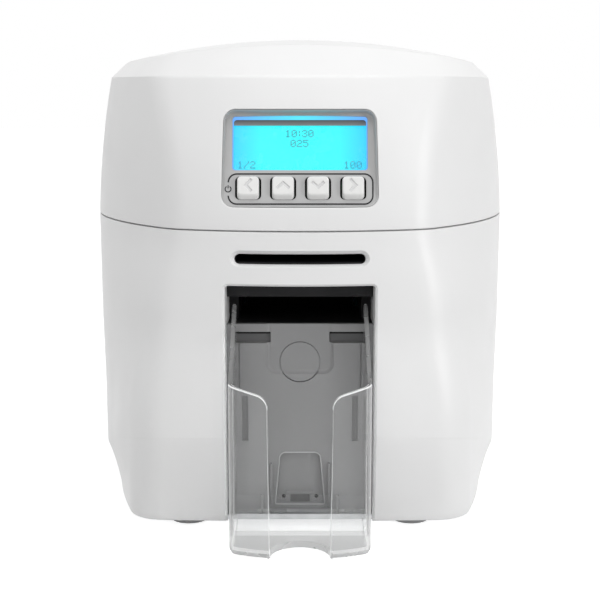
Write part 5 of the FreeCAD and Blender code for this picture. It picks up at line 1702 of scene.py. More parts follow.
@dataclass
class BackPlate(Assembly):
    """Grey plate behind the tray, with its hanger slots, thumb recess, rails and pocket."""

    front: float = 15.0
    thick: float = 2.9
    outline: Patch = Patch.across(35.0, 6.0, 98.8, 1.0)
    hanger: Patch = Patch(13.8, 30.9, 89.7, 95.0, 0.5)
    hanger_floor: Patch = Patch(13.9, 30.8, 89.8, 94.0, 0.2, 2)
    hanger_shade: Patch = Patch(13.9, 30.8, 94.05, 94.95, 0.1, 2)
    rail: Patch = Patch(24.7, 27.6, 42.0, 64.0, 0.3)
    rail_floor: Patch = Patch(24.8, 27.5, 42.1, 63.9, 0.2, 2)
    score: Patch = Patch(28.6, 29.0, 66.0, 95.5, 0.15)
    pin: Pair = (7.85, 14.0)
    pin_r: float = 0.95
    ring: Pair = (0.0, 80.5)
    ring_r: float = 9.55
    thumb_corners: tuple[Triple, ...] = ((-16.2, 74.7, 5.0), (16.2, 74.7, 5.0), (15.6, 104.0, 1.0),
                                         (-15.6, 104.0, 1.0))
    thumb_steps: tuple[Pair, ...] = ((0.5, 0.4), (0.1, 0.05), (-0.25, -0.2), (-0.7, -0.85), (-1.2, -1.35),
                                     (-2.0, -1.6))
    pocket_corners: tuple[Triple, ...] = ((-11.6, 11.0, 0.8), (11.6, 11.0, 0.8), (9.2, 36.0, 2.6),
                                          (-9.2, 36.0, 2.6))
    bead_steps: tuple[Pair, ...] = ((0.66, -0.3), (0.62, 0.24), (0.48, 0.42), (0.24, 0.42), (0.1, 0.24),
                                    (0.06, -0.3))
    latch: Patch = Patch.across(6.8, 10.4, 16.6, 0.6)
    latch_hole: Patch = Patch.across(4.8, 11.2, 15.2, 0.3)
    latch_floor: Patch = Patch.across(4.7, 10.9, 14.8, 0.2, 2)
    ribs: tuple[tuple[float, ...], ...] = ((13.8, 11.0, 31.0, 1.6), (18.2, 6.4, 15.4, 2.4))
    rib_half: float = 0.55

    @cached_property
    def sight(self) -> Sight:
        """Give the view onto the plate's face."""
        return Sight(Vector((0, self.front, 0)), RIGHT, UPWARDS, FORWARDS)

    @cached_property
    def face(self) -> Relief:
        """Give what makes the pattern of the plate's face."""
        return Relief(self.shop, self.sight)

    def pin_hole(self, side: int, radius: float) -> Loop:
        """Give the outline of the pin hole on one side."""
        return arc((side * self.pin[0], self.pin[1]), radius, 0.0, math.tau, 20)

    def thumb(self) -> Piece:
        """Make the solid of the soft thumb recess, which runs out at its top.

        Returns:
            The solid.
        """
        loop = filleted(self.thumb_corners, 9)
        rings = []
        for out, h in self.thumb_steps:
            ring = []
            for u, v in offset(loop, out):
                fade = min(max((v - 80.0) / 26.0, 0.0), 0.8)
                ring.append(self.sight.place(u, v, h if h > 0 else h * (1.0 - fade)))
            rings.append(ring)
        return self.shop.rings("thumb", rings)

    def plate(self) -> Piece:
        """Make the plate with its pattern.

        Returns:
            The plate.
        """
        steps = ((-0.35, 0.0), (-0.1, -0.1), (0.0, -0.35), (0.0, -self.thick))
        plate = self.shop.stack("back_plate", self.sight, self.outline.loop(), steps)
        tools = []
        cuts = ((self.hanger, 2.1, 0.05), (self.rail, 0.9, 0.05), (self.score, 0.5, 0.1))
        for side in SIDES:
            tools += [self.face.pocket(patch.on(side).loop(), depth, slope) for patch, depth, slope in cuts]
            tools.append(self.face.pocket(self.pin_hole(side, self.pin_r), 2.5, 0.05))
        tools += [self.face.groove(self.ring, self.ring_r, 0.42, 2.1), self.thumb(),
                  self.face.pocket(filleted(self.pocket_corners), 1.7, 0.1)]
        for tool in tools:
            combine(plate, tool, Change.CUT)
        return plate

    def floors(self) -> Piece:
        """Make the floors of the hanger slots, the rail slots and the small window, dark with painted shade.

        Returns:
            The floors.
        """
        # Painted shade: dark floors in the slots and the small window.
        places = [(self.latch_floor, -1.55)]
        for side in SIDES:
            places += [(self.hanger_floor.on(side), -1.9), (self.rail_floor.on(side), -0.7)]
        made = [self.shop.slab("inlay", self.sight, patch.loop(), top - 0.4, top) for patch, top in places]
        return merge(made, "slot_floors")

    def shades(self) -> Piece:
        """Make the black strips at the top of the hanger slots and the floors of the pin holes, all painted
        shade.

        Returns:
            The strips and floors.
        """
        # Painted shade: black strips and spots where the slots and pin holes are in shadow.
        made = []
        for side in SIDES:
            strip, spot = self.hanger_shade.on(side).loop(), self.pin_hole(side, self.pin_r - 0.01)
            for loop, level in ((strip, -1.0), (spot, -1.72)):
                made.append(self.shop.slab("shade", self.sight, loop, level - 0.4, level))
        return merge(made, "slot_shades")

    def latch_block(self) -> Piece:
        """Make the small frame in the low pocket, around its dark window.

        Returns:
            The frame.
        """
        top = -0.8
        steps = ((0.0, -1.9), (0.0, top - 0.15), (-0.15, top))
        block = self.shop.stack("latch_block", self.sight, self.latch.loop(), steps)
        hole = Relief(self.shop, self.sight, top).pocket(self.latch_hole.loop(), 0.9, 0.1)
        combine(block, hole, Change.CUT)
        return block

    def plate_ribs(self) -> Piece:
        """Make the upright ribs at both sides of the pocket.

        Returns:
            The ribs.
        """
        made = []
        for x, z0, z1, proud in self.ribs:
            rib = Patch(x - self.rib_half, x + self.rib_half, z0, z1, 0.4, 3)
            steps = ((0.0, -0.3), (0.0, proud - 0.2), (-0.2, proud))
            made += [self.shop.stack("rib", self.sight, rib.on(side).loop(), steps) for side in SIDES]
        return merge(made, "plate_ribs")

    def bead(self) -> Piece:
        """Make the raised bead around the low pocket, whose lighter grey is a painted highlight."""
        # Painted highlight: the bead is lighter grey than the plate, as if lit along the pocket's edge.
        outline = filleted(self.pocket_corners)
        return self.shop.stack("pocket_bead", self.sight, outline, self.bead_steps, loop=True)

    def build(self) -> Pieces:
        """Make the plate and what lies on it.

        Returns:
            The pieces by name.
        """
        made = (self.plate(), self.plate_ribs(), self.bead(), self.latch_block(), self.floors(),
                self.shades())
        for piece in made:
            shade(piece, 30)
        return {piece.name: piece for piece in made}

    def dress(self, pieces: Pieces) -> None:
        """Put the pieces on the chassis, in greys, with painted shade in the slots and a painted highlight on
        the bead.

        Args:
            pieces: the pieces by name.
        """
        # Painted shade: the dark slot floors and black strips; painted highlight: the bead's lighter grey.
        looks = {
            "pocket_bead": Moulded("grey_bead", (0.40, 0.40, 0.405), (0.35, 0.45)),
            "slot_floors": Moulded("slot_floor_plastic", (0.105, 0.105, 0.106), (0.5, 0.6), specular=0.2),
            "slot_shades": Moulded("slot_shade_plastic", (0.012, 0.012, 0.012), (0.5, 0.6), specular=0.1),
        }
        for name, piece in pieces.items():
            nodes = ("stacker_back_plate",) if name == "back_plate" else ()
            self.fit(piece, "chassis", Slot.PLATE, *nodes, finish=looks.get(name))


class TraySkin(IntEnum):
    """Surfaces of the clear tray, in the order of its material slots; all but the wall carry painted light.
    """

    WALL = 0
    EDGE = 1
    BASE = 2
    RIM = 3
    FLOOR = 4
    HAZE_LOW = 5
    HAZE_MID = 6
    HAZE_HIGH = 7

    def finish(self) -> Finish:
        """Give the surface's finish.

        Returns:
            The tray's clear plastic, or a copy of it with painted light: a painted highlight on an edge,
            painted shade on a thick part, and a painted reflection on a curved one.
        """
        if self is TraySkin.WALL:
            return FINISHES[Slot.TRAY]
        # Lit and shaded copies of the clear plastic: painted highlight on the edges, painted shade on the
        # base, rim and front floor, painted reflection on the curved corners.
        tint, roughness, transmission = {
            TraySkin.EDGE: (0.97, 0.35, 0.15), TraySkin.BASE: (0.60, 0.3, 0.4),
            TraySkin.RIM: (0.38, 0.3, 0.62), TraySkin.FLOOR: (0.57, 0.05, 1.0),
            TraySkin.HAZE_LOW: (0.93, 0.1, 0.86), TraySkin.HAZE_MID: (0.95, 0.15, 0.68),
            TraySkin.HAZE_HIGH: (0.96, 0.2, 0.52)}[self]
        ior = 1.3 if self is TraySkin.EDGE else 1.04
        return Clear("clear_tray_" + self.name.lower(), (tint, tint * 1.005, tint * 1.005), roughness, ior,
                     0.000004, 0.6, transmission)


@dataclass
class Tray(Assembly):
    """Clear output tray: two bowed front panels with side walls, and a stepped floor with a finger notch."""

    half: float = 31.7
    wall: float = 2.0
    side_front: float = -31.0
    bow: float = 7.2
    back: float = 14.2
    corner: float = 5.0
    bottom: float = 3.0
    floor: float = 3.0
    step: float = 5.5
    ramp_front: float = -9.4
    ramp_back: float = 2.0
    gap_low: float = 13.4
    gap_top: float = 14.6
    panel_top: float = 75.9
    panel_rise: float = 0.25
    side_top: float = 79.7
    back_top: float = 108.5
    shoulder: float = 5.0
    notch_y: float = -36.2
    notch_r: float = 13.4
    round: float = 0.55
    skirt: float = 2.2
    lip_y: float = 10.6
    lip_top: float = 16.4
    panel_shares: tuple[float, ...] = (0.0, 0.006, 0.018, 0.04, 0.08, 0.14, 0.21, 0.28, 0.36, 0.45, 0.55,
                                       0.65, 0.75, 0.85, 0.93)
    side_shares: tuple[float, ...] = (0.0, 0.06, 0.14, 0.25, 0.4, 0.55, 0.7, 0.85, 0.97, 0.99, 1.0)
    corner_steps: int = 12
    leaning: int = 9

    @property
    def bow_radius(self) -> float:
        """Give the radius of the bowed front."""
        return (self.half ** 2 + self.bow ** 2) / (2 * self.bow)

    @property
    def bow_hub(self) -> float:
        """Give the middle of the bowed front."""
        return self.side_front - self.bow + self.bow_radius

    @cached_property
    def skins(self) -> tuple[bpy.types.Material, ...]:
        """Give the materials of the surfaces."""
        return tuple(self.wardrobe.of(skin.finish()) for skin in TraySkin)

    def path(self) -> Loop:
        """Give the outer line of the right wall.

        Returns:
            Places across and back, from the gap round the corner to the back.
        """
        radius, hub = self.bow_radius, self.bow_hub
        corner_x = self.half - self.corner
        corner_y = hub - math.sqrt((radius - self.corner) ** 2 - corner_x ** 2)
        first = math.asin(self.gap_low / radius)
        last = math.atan2(corner_x, hub - corner_y)
        turns = [first + (last - first) * share for share in self.panel_shares]
        line = [(radius * math.sin(t), hub - radius * math.cos(t)) for t in turns]
        line += arc((corner_x, corner_y), self.corner, last - math.pi / 2, 0.0, self.corner_steps)
        line += [(self.half, corner_y + (self.back - corner_y) * share) for share in self.side_shares]
        return line

    def top(self, x: float, y: float, along: float) -> float:
        """Give the wall's height at a place.

        Args:
            x: place across.
            y: place back.
            along: distance from the gap.

        Returns:
            The height.
        """
        knee = self.side_front + self.corner
        if x >= self.half - 0.01 and y > knee:
            return self.side_top + (self.back_top - self.side_top) * (y - knee) / (self.back - knee)
        short = max(self.shoulder - along, 0.0)
        rise = self.panel_rise * (x - self.gap_top)
        return self.panel_top - self.shoulder + math.sqrt(self.shoulder ** 2 - short ** 2) + rise

    def skin_of(self, ring: int, place: int) -> TraySkin:
        """Give the surface that a wall face belongs to.

        Args:
            ring: number of the ring that the face starts from, counted from the gap.
            place: number of its first point in the section.

        Returns:
            The surface.
        """
        corner = len(self.panel_shares)
        behind = corner + self.corner_steps - 2
        # Edges take the painted highlight, the base and rim painted shade, and the curved corner painted
        # reflection.
        if ring <= 1:
            return TraySkin.EDGE
        if 2 <= place <= 8:
            return TraySkin.RIM if ring > behind else TraySkin.HAZE_LOW if place == 5 else TraySkin.EDGE
        if place >= 12:
            return TraySkin.BASE
        if place <= 1 and corner <= ring <= behind + 3:
            if ring < corner + 3:
                return TraySkin.HAZE_LOW
            return TraySkin.HAZE_MID if ring < corner + 6 or ring > behind else TraySkin.HAZE_HIGH
        return TraySkin.WALL

    def lean(self, ring: Ring, mirror: int, share: float) -> Ring:
        """Lean a ring near the gap, which widens towards its top."""
        by = mirror * (self.gap_top - self.gap_low) * share / (self.panel_top - self.bottom)
        return [Vector((p.x + by * (p.z - self.bottom), p.y, p.z)) for p in ring]

    def section(self, outer: Vector, inward: Vector, top: float, pinch: float, mirror: int) -> Ring:
        """Give the wall's section at one place.

        Args:
            outer: place on the outer line.
            inward: way to the inside.
            top: height of the wall there.
            pinch: share by which each face is drawn in.
            mirror: 1 for the right and -1 for the left.

        Returns:
            The ring, from the outer face over the rim and down the inner face to the skirt.
        """
        r, thick, low, s = self.round, self.wall, self.bottom, self.skirt
        profile = ((0.0, low + s), (0.0, (low + top) / 2), (0.0, top - r), (r * 0.13, top - r * 0.5),
                   (r * 0.5, top - r * 0.13), (r, top), (thick - r, top), (thick - r * 0.5, top - r * 0.13),
                   (thick - r * 0.13, top - r * 0.5), (thick, top - r), (thick, (low + top) / 2),
                   (thick, low + s), (thick, low), (s * 0.62, low + s * 0.08), (s * 0.29, low + s * 0.29),
                   (s * 0.08, low + s * 0.62))
        ring = []
        for depth, z in profile:
            spot = outer + inward * (thick / 2 + (depth - thick / 2) * (1.0 - pinch))
            ring.append(Vector((spot.x * mirror, spot.y, z)))
        return ring

    def side(self, mirror: int) -> Piece:
        """Make the wall of one side.

        Args:
            mirror: 1 for the right and -1 for the left.

        Returns:
            The wall.
        """
        line = self.path()
        last = len(line) - 1
        pinches = {0: 0.3, 1: 0.12, last - 1: 0.1, last: 0.3}
        rings = []
        along = 0.0
        for i, (x, y) in enumerate(line):
            run = (Vector(line[min(i + 1, last)]) - Vector(line[max(i - 1, 0)])).normalized()
            along += math.dist(line[i], line[max(i - 1, 0)])
            ring = self.section(Vector((x, y)), Vector((-run.y, run.x)), self.top(x, y, along),
                                pinches.get(i, 0.0), mirror)
            share = max(1.0 - i / self.leaning, 0.0)
            rings.append(self.lean(ring, mirror, share))
        return self.shop.rings("tray_side", rings, mark=self.skin_of, skins=self.skins)

    def plan(self) -> Loop:
        """Give the floor's outline with its finger notch, seen from above.

        Returns:
            The outline.
        """
        half_wall = self.wall / 2
        edge_y = self.bow_hub - math.sqrt(self.bow_radius ** 2 - self.notch_r ** 2)
        outline = [(self.notch_r, edge_y + half_wall)]
        outline += [(x, y) for x, y in offset(self.path(), -half_wall)
                    if x > self.notch_r + 0.6 and y < self.side_front + self.corner]
        outline.append((self.half - half_wall, self.back))
        loop = outline + [(-x, y) for x, y in outline[::-1]]
        loop += arc((0.0, self.notch_y), self.notch_r, math.pi, 0.0, 32)
        return loop + [(self.notch_r, self.notch_y)]

    def floor_piece(self) -> Piece:
        """Make the floor: flat in front, with a ramp up to its raised back.

        Returns:
            The floor.
        """
        low, high, thick = self.bottom, self.step, self.floor
        far = self.side_front - self.bow - 5.0
        under = [(far, low), (self.ramp_front, low), (self.ramp_back, high), (self.back + 1.0, high)]
        shape = under + [(y, z + thick) for y, z in under[::-1]]
        wide = self.half + 1.0
        sheet = self.shop.rings("tray_floor", [[Vector((x, y, z)) for y, z in shape] for x in (-wide, wide)])
        prism = self.shop.rings("prism", [lifted(self.plan(), z) for z in (low - 2.0, high + thick + 2.0)])
        combine(sheet, prism, Change.KEEP)
        soften(sheet, 0.35, 50.0)
        settle(sheet)
        for skin in self.skins:
            sheet.data.materials.append(skin)
        ramp = self.shop.at(0.0, self.ramp_front, 0.0).y
        # The front floor and the narrow faces take shaded copies of the clear plastic: painted shade.
        for face in sheet.data.polygons:
            flat = TraySkin.FLOOR if face.center.y < ramp else TraySkin.WALL
            face.material_index = TraySkin.BASE if abs(face.normal.z) < 0.75 else flat
        return sheet

    def back_lip(self) -> Piece:
        """Make the low wall at the back of the floor.

        Returns:
            The wall.
        """
        y0, y1, low, top = self.lip_y, self.lip_y + 1.0, self.step + 1.0, self.lip_top
        shape = [(y0, low), (y1, low), (y1, top - 0.2), (y1 - 0.2, top), (y0 + 0.2, top), (y0, top - 0.2)]
        wide = self.half - self.wall * 0.6
        rings = [[Vector((x, y, z)) for y, z in shape] for x in (-wide, 0.0, wide)]
        return self.shop.rings("tray_lip", rings, skins=self.skins)

    def build(self) -> Pieces:
        """Make the tray.

        Returns:
            The one piece by its name.
        """
        tray = self.side(1)
        for part in (self.side(-1), self.floor_piece(), self.back_lip()):
            combine(tray, part, Change.JOIN)
        tray.name = "clear_tray"
        shade(tray, 26)
        return {tray.name: tray}

    def dress(self, pieces: Pieces) -> None:
        """Put the tray on its body, in the finishes that its faces already have."""
        self.place(pieces["clear_tray"], "tray", Slot.TRAY, "stacker_tray")


# The display panel


class Key(Enum):
    """Keys from left to right: the place of each across, and the way its arrow points in degrees."""

    LEFT = (-23.6, 180.0)
    UP = (-7.7, 90.0)
    DOWN = (8.2, 270.0)
    RIGHT = (24.2, 0.0)

    @property
    def u(self) -> float:
        """Give the place across."""
        return self.value[0]

    @property
    def turn(self) -> float:
        """Give the arrow's turn in radians."""
        return math.radians(self.value[1])

    @property
    def word(self) -> str:
        """Give the key's word in names."""
        return self.name.lower()


@dataclass
class Bezel(Assembly):
    """Silver panel whose rim rises to the lid, with the display opening and the four key holes."""

    skin: Skin
    outline: Patch = Patch.across(35.7, -0.5, 44.6, 5.3, 10)
    display: Patch = Patch.across(30.9, 16.4, 41.35, 1.4)
    display_top: float = 40.5
    display_rise: float = 0.5
    key: Patch = Patch.across(5.95, 2.88, 13.3, 2.0)
    thick: float = 1.9
    under: float = 0.35
    rim_steps: Pair = (0.08, 0.3)
    wall_inset: float = 0.45
    wall_shares: tuple[float, ...] = (0.08, 0.2, 0.35, 0.5, 0.65, 0.8, 0.92, 1.0)

    def wall(self, loop: Loop, foot: Loop, share: float) -> Ring:
        """Give one ring of the rim's inner wall.

        Args:
            loop: the rim's outline.
            foot: the outline where the wall meets the flat.
            share: 0 at the rim and 1 at the flat.

        Returns:
            The ring.
        """
        ring = []
        for (u, v), (a, b) in zip(loop, foot):
            back = PANEL.place(u, v, 0.0)
            rim = FRONT.place(back.x, back.z, self.skin.depth(FRONT, back.x, back.z) - self.under)
            flat = PANEL.place(a, b, 0.0)
            across = 1.0 - (1.0 - share) ** 2
            ring.append(Vector((rim.x + (flat.x - rim.x) * share, rim.y + (flat.y - rim.y) * across,
                                rim.z + (flat.z - rim.z) * share)))
        return ring

    def foot(self, loop: Loop) -> Loop:
        """Give the outline where the wall meets the flat, narrow at the bottom and wide at the top.

        Args:
            loop: the rim's outline.

        Returns:
            The outline, with as many points.
        """
        made: Loop = []
        for (u, v), (a, b) in zip(loop, offset(loop, 1.0)):
            out_u, out_v = a - u, b - v
            side = 0.85 * max(-out_u, 0.0) * max(1.0 - out_v, 0.4)
            by = 1.5 + 0.5 * max(out_v, 0.0) - 0.75 * max(-out_v, 0.0) - side
            made.append((u - out_u * by, v - out_v * by))
        return made

    def build(self) -> Pieces:
        """Make the panel.

        Returns:
            The one piece by its name.
        """
        loop = tapered(self.outline.loop(), self.outline.v0, self.outline.v1, PANEL_TAPER)
        foot = self.foot(loop)
        rim = [p + BACKWARDS * 0.25 for p in self.wall(loop, foot, 0.0)]
        rings = [[PANEL.place(u, v, -self.thick) for u, v in loop], rim]
        rings += [self.wall(offset(loop, -out), foot, 0.0) for out in self.rim_steps]
        inner = offset(loop, -self.wall_inset)
        rings += [self.wall(inner, foot, share) for share in self.wall_shares]
        rings.append([PANEL.place(u, v, 0.0) for u, v in offset(foot, -1.5)])
        plate = self.shop.rings("silver_panel", rings)
        face = Relief(self.shop, PANEL)
        display = arched(self.display.loop(), self.display_top, self.display_rise)
        tools = [face.pocket(display, 3.0, 0.3)]
        tools += [face.pocket(self.key.moved(key.u).loop(), 3.0, 0.02) for key in Key]
        combine(plate, merge(tools, "cutters"), Change.CUT)
        shade(plate, 30)
        return {plate.name: plate}

    def dress(self, pieces: Pieces) -> None:
        """Put the panel on the lid, in silver."""
        self.fit(pieces["silver_panel"], "lid", Slot.PANEL, "display_bezel")


@dataclass
class KeyCaps(Assembly):
    """Four caps with a slanted lower side, rolled edges and a sunk arrow."""

    half: float = 5.0
    low: float = 2.9
    high: float = 13.3
    middle: float = 9.15
    proud: float = 2.3
    deep: float = 1.7
    corner: float = 1.8
    arrow_shape: tuple[Pair, ...] = ((1.9, 0.0), (-1.05, 3.2), (-1.95, 2.35), (0.15, 0.0), (-1.95, -2.35),
                                     (-1.05, -3.2))
    arrow_steps: tuple[Pair, ...] = ((0.2, 0.5), (0.2, 0.02), (0.1, -0.3), (0.0, -0.55))

    def ring(self, key: Key, inset: float, proud: float, rise: float) -> Ring:
        """Give one ring of a cap.

        Args:
            key: the key.
            inset: how far it is drawn in.
            proud: height over the panel.
            rise: how far its lower side is raised.

        Returns:
            The ring.
        """
        tall = self.high - self.low
        lower = self.low + rise
        ring = []
        for u, v in Patch.across(self.half, 0.0, tall, self.corner, 7).loop():
            span = (v / tall) * (self.high - inset - lower) + lower
            ring.append(PANEL.place(key.u + u * (self.half - inset) / self.half, span, proud))
        return ring

    def arrow(self, key: Key) -> Loop:
        """Give the outline of a key's arrow."""
        cos, sin = math.cos(key.turn), math.sin(key.turn)
        return [(key.u + a * cos - b * sin, self.middle + a * sin + b * cos) for a, b in self.arrow_shape]

    def cap(self, key: Key) -> Piece:
        """Make a cap.

        Args:
            key: the key.

        Returns:
            The cap.
        """
        top = self.proud
        steps = ((0.0, -self.deep, 0.0), (0.0, -0.1, 0.0), (0.0, 0.25, 0.0), (0.08, top - 0.85, 1.05),
                 (0.2, top - 0.36, 1.6), (0.42, top - 0.1, 1.98), (0.7, top, 2.4), (2.4, top - 0.03, 4.0),
                 (4.2, top - 0.05, 5.4))
        cap = self.shop.rings("key_cap_" + key.word, [self.ring(key, *step) for step in steps])
        levels = [(out, top + h) for out, h in self.arrow_steps]
        combine(cap, self.shop.stack("arrow", PANEL, self.arrow(key), levels), Change.CUT)
        shade(cap, 38)
        return cap

    def inlay(self, key: Key) -> Piece:
        """Make the floor of a key's arrow, whose darker grey is painted shade in the groove."""
        levels = [(0.05, self.proud - drop) for drop in (0.9, 0.5)]
        return self.shop.stack("key_arrow_" + key.word, PANEL, self.arrow(key), levels)

    def build(self) -> Pieces:
        """Make the caps and the floors of their arrows."""
        made = [make(key) for key in Key for make in (self.cap, self.inlay)]
        return {piece.name: piece for piece in made}

    def dress(self, pieces: Pieces) -> None:
        """Put each cap and its arrow on the key's body, in white and in a pale grey of painted shade.

        Args:
            pieces: the pieces by name.
        """
        # Painted shade: the arrow's floor is a little darker than the cap.
        arrow = Moulded("key_mark", (0.70, 0.70, 0.70), (0.4, 0.5))
        for key in Key:
            self.fit(pieces["key_cap_" + key.word], "key_" + key.word, Slot.KEY, "button_" + key.word)
            self.fit(pieces["key_arrow_" + key.word], "key_" + key.word, Slot.KEY, finish=arrow)


GLYPHS: dict[str, tuple[str, ...]] = {
    "0": ("01110", "10001", "10011", "10101", "11001", "10001", "01110"),
    "1": ("00100", "01100", "00100", "00100", "00100", "00100", "01110"),
    "2": ("01110", "10001", "00001", "00110", "01000", "10000", "11111"),
    "3": ("01110", "10001", "00001", "00110", "00001", "10001", "01110"),
    "5": ("11111", "10000", "11110", "00001", "00001", "10001", "01110"),
    ":": ("000", "010", "010", "000", "010", "010", "000"),
    "/": ("00001", "00001", "00010", "00100", "01000", "10000", "10000"),
}


@dataclass
class PanelMarks(Assembly):
    """Printed marks of the panel, a painted reflection and painted shade at its window's edges, and the
    display's figures.
    """

    print_levels: Pair = (-0.1, 0.07)
    key_frame: Patch = Patch(-32.95, 33.45, 0.45, 15.0, 4.2, 10)
    line_width: float = 0.68
    line_gap: tuple[float, float, float] = (-32.55, 4.9, 10.6)
    standby: Pair = (-32.7, 7.7)
    standby_r: float = 1.33
    stroke: float = 0.46
    window: Patch = Patch.across(30.85, 16.45, 41.3, 1.6, 8)
    window_top: float = 40.5
    window_rise: float = 0.5
    lit_half: float = 30.35
    lit_rows: Pair = (16.7, 40.0)
    lit_levels: Pair = (-1.9, -0.9)
    band_half: float = 30.3
    band_rows: Pair = (37.6, 40.5)
    band_levels: Pair = (-1.95, -1.5)
    band_slope: float = 0.25
    dot: float = 0.44
    pitch: float = 0.48
    texts: tuple[tuple[str, float, float], ...] = (("10:30", -6.5, 35.6), ("025", -4.1, 31.0),
                                                   ("1/2", -28.4, 21.0), ("100", 20.4, 21.0))
    dot_levels: Pair = (-3.75, -3.66)
    shade_sheet: Patch = Patch.across(32.0, 1.6, 14.6, 1.5)
    shade_sheet_levels: Pair = (-2.6, -2.05)
    shade_sheet_hole: Patch = Patch.across(5.15, 2.75, 13.45, 1.9)

    def ribbon(self, name: str, pairs: Sequence[tuple[Pair, Pair]]) -> Piece:
        """Make a printed line that has two ends.

        Args:
            name: the piece's name.
            pairs: outer and inner place of each step along it.

        Returns:
            The line.
        """
        low, high = self.print_levels
        rings = [[PANEL.place(*outer, low), PANEL.place(*outer, high), PANEL.place(*inner, high),
                  PANEL.place(*inner, low)] for outer, inner in pairs]
        return self.shop.rings(name, rings)

    def key_line(self) -> Piece:
        """Make the dark line around the keys, open where the standby mark is.

        Returns:
            The line.
        """
        outer = self.key_frame.loop()
        inner = offset(outer, -self.line_width)
        left, low, high = self.line_gap
        keep = [not (u < left and low < v < high) for u, v in outer]
        gap = keep.index(False)
        order = [(gap + i) % len(outer) for i in range(len(outer))]
        return self.ribbon("key_line", [(outer[i], inner[i]) for i in order if keep[i]])

    def standby_mark(self) -> Piece:
        """Make the standby mark: a ring with a gap and a short bar.

        Returns:
            The mark.
        """
        u0, v0 = self.standby
        half = self.stroke / 2
        pairs = []
        for i in range(29):
            turn = math.radians(120 + 300 * i / 28)
            outer, inner = [(u0 + r * math.cos(turn), v0 + r * math.sin(turn))
                            for r in (self.standby_r + half, self.standby_r - half)]
            pairs.append((outer, inner))
        bar = Patch(u0 - half, u0 + half, v0 + 0.3, v0 + 1.75, 0.1, 2).loop()
        made = [self.ribbon("standby_mark", pairs), self.shop.slab("bar", PANEL, bar, *self.print_levels)]
        return merge(made, "standby_mark")

    def window_edge(self) -> Piece:
        """Make a glowing strip along the display window's edge, wide at its top: a painted reflection of the
        display's light on the window's chamfer.

        Returns:
            The edge.
        """
        window = self.window
        outer = arched(window.loop(), self.window_top, self.window_rise)
        low, high = self.lit_rows
        inner = []
        for u, v in outer:
            share = min((v - window.v0) / (window.v1 - window.v0), 1.0)
            inner.append((u * self.lit_half / window.u1, low + share * (high - low)))
        under, over = self.lit_levels
        rings = [[PANEL.place(u, v, h) for u, v in loop]
                 for loop, h in ((outer, under), (outer, over), (inner, over), (inner, under))]
        return self.shop.rings("window_edge", rings, loop=True)

    def window_band(self) -> Piece:
        """Make the band of painted shade under the window's upper edge.

        Returns:
            The band.
        """
        half = self.band_half
        low, high = self.band_rows
        loop = filleted(((-half, low, 0.2), (half, low, 0.2), (half, high, 1.4), (-half, high, 1.4)))
        rings = [[PANEL.place(u, v, level - (39.8 - v) * self.band_slope) for u, v in loop]
                 for level in self.band_levels]
        return self.shop.rings("window_band", rings)

    def figures(self) -> Piece:
        """Make the figures on the display from raised dots.

        Returns:
            The figures.
        """
        spots = []
        for text, left, top in self.texts:
            column = 0
            for sign in text:
                rows = GLYPHS[sign]
                spots += [(left + (column + c) * self.pitch, top - r * self.pitch)
                          for r, row in enumerate(rows) for c, mark in enumerate(row) if mark == "1"]
                column += len(rows[0]) + 1
        half = self.dot / 2
        made = []
        for u, v in spots:
            square = [(u - half, v - half), (u + half, v - half), (u + half, v + half), (u - half, v + half)]
            made.append(self.shop.slab("dot", PANEL, square, *self.dot_levels))
        return merge(made, "display_figures")

    def key_mat(self) -> Piece:
        """Make the dark sheet of painted shade that shows in the gaps around the keys.

        Returns:
            The sheet.
        """
        low, high = self.shade_sheet_levels
        shade_sheet = self.shop.slab("key_mat", PANEL, self.shade_sheet.loop(), low, high)
        holes = [self.shop.slab("hole", PANEL, self.shade_sheet_hole.moved(key.u).loop(), low - 0.4, high + 0.25)
                 for key in Key]
        combine(shade_sheet, merge(holes, "holes"), Change.CUT)
        return shade_sheet

    def build(self) -> Pieces:
        """Make the marks.

        Returns:
            The pieces by name.
        """
        made = (self.key_line(), self.standby_mark(), self.window_edge(), self.window_band(), self.figures(),
                self.key_mat())
        return {piece.name: piece for piece in made}

    def dress(self, pieces: Pieces) -> None:
        """Put the marks on the lid, in their own finishes.

        Args:
            pieces: the pieces by name.
        """
        mark = Moulded("panel_mark", (0.012, 0.012, 0.014), (0.35, 0.5), specular=0.3)
        # Painted shade: a near-black sheet behind the gaps around the keys.
        shade_sheet = Moulded("key_mat_rubber", (0.004, 0.004, 0.004), (0.7, 0.8), specular=0.1)
        heights = tuple(PANEL.place(0.0, v, 0.0).z * MM for v in self.band_rows)
        # Painted shade: a dark grey band that darkens towards its top under the window's edge.
        band = Graded("window_band_plastic", (0.27, 0.27, 0.27), (0.03, 0.03, 0.03), heights)
        figure = Glowing("display_figure", (0.008, 0.26, 0.36), (0.008, 0.22, 0.46))
        # Painted reflection: the window's edge glows with the display's light; the display and its figures
        # glow for real.
        edge = Glowing("window_edge_glow", (0.10, 0.80, 1.0), (0.14, 0.34, 0.95), knee=0.05)
        looks = {"key_line": (mark, Slot.BLACK), "standby_mark": (mark, Slot.BLACK),
                 "window_edge": (edge, Slot.SCREEN), "window_band": (band, Slot.BLACK),
                 "display_figures": (figure, Slot.SCREEN), "key_mat": (shade_sheet, Slot.RUBBER)}
        for name, piece in pieces.items():
            finish, slot = looks[name]
            self.fit(piece, "lid", slot, finish=finish)


# The studio


@dataclass(frozen=True)
class Lamp:
    """Soft rectangular lamp: its place in metres, its width and height, and its watts."""

    name: str
    place: Triple
    size: Pair
    power: float

    def hang(self, target: Vector) -> None:
        """Hang the lamp.

        Args:
            target: what it points at.
        """
        data = bpy.data.lights.new(self.name, "AREA")
        data.shape = "RECTANGLE"
        data.size, data.size_y = self.size
        data.energy = self.power
        lamp = bpy.data.objects.new(self.name, data)
        lamp.location = self.place
        lamp.rotation_euler = (target - Vector(self.place)).to_track_quat("-Z", "Y").to_euler()
        bpy.context.scene.collection.objects.link(lamp)


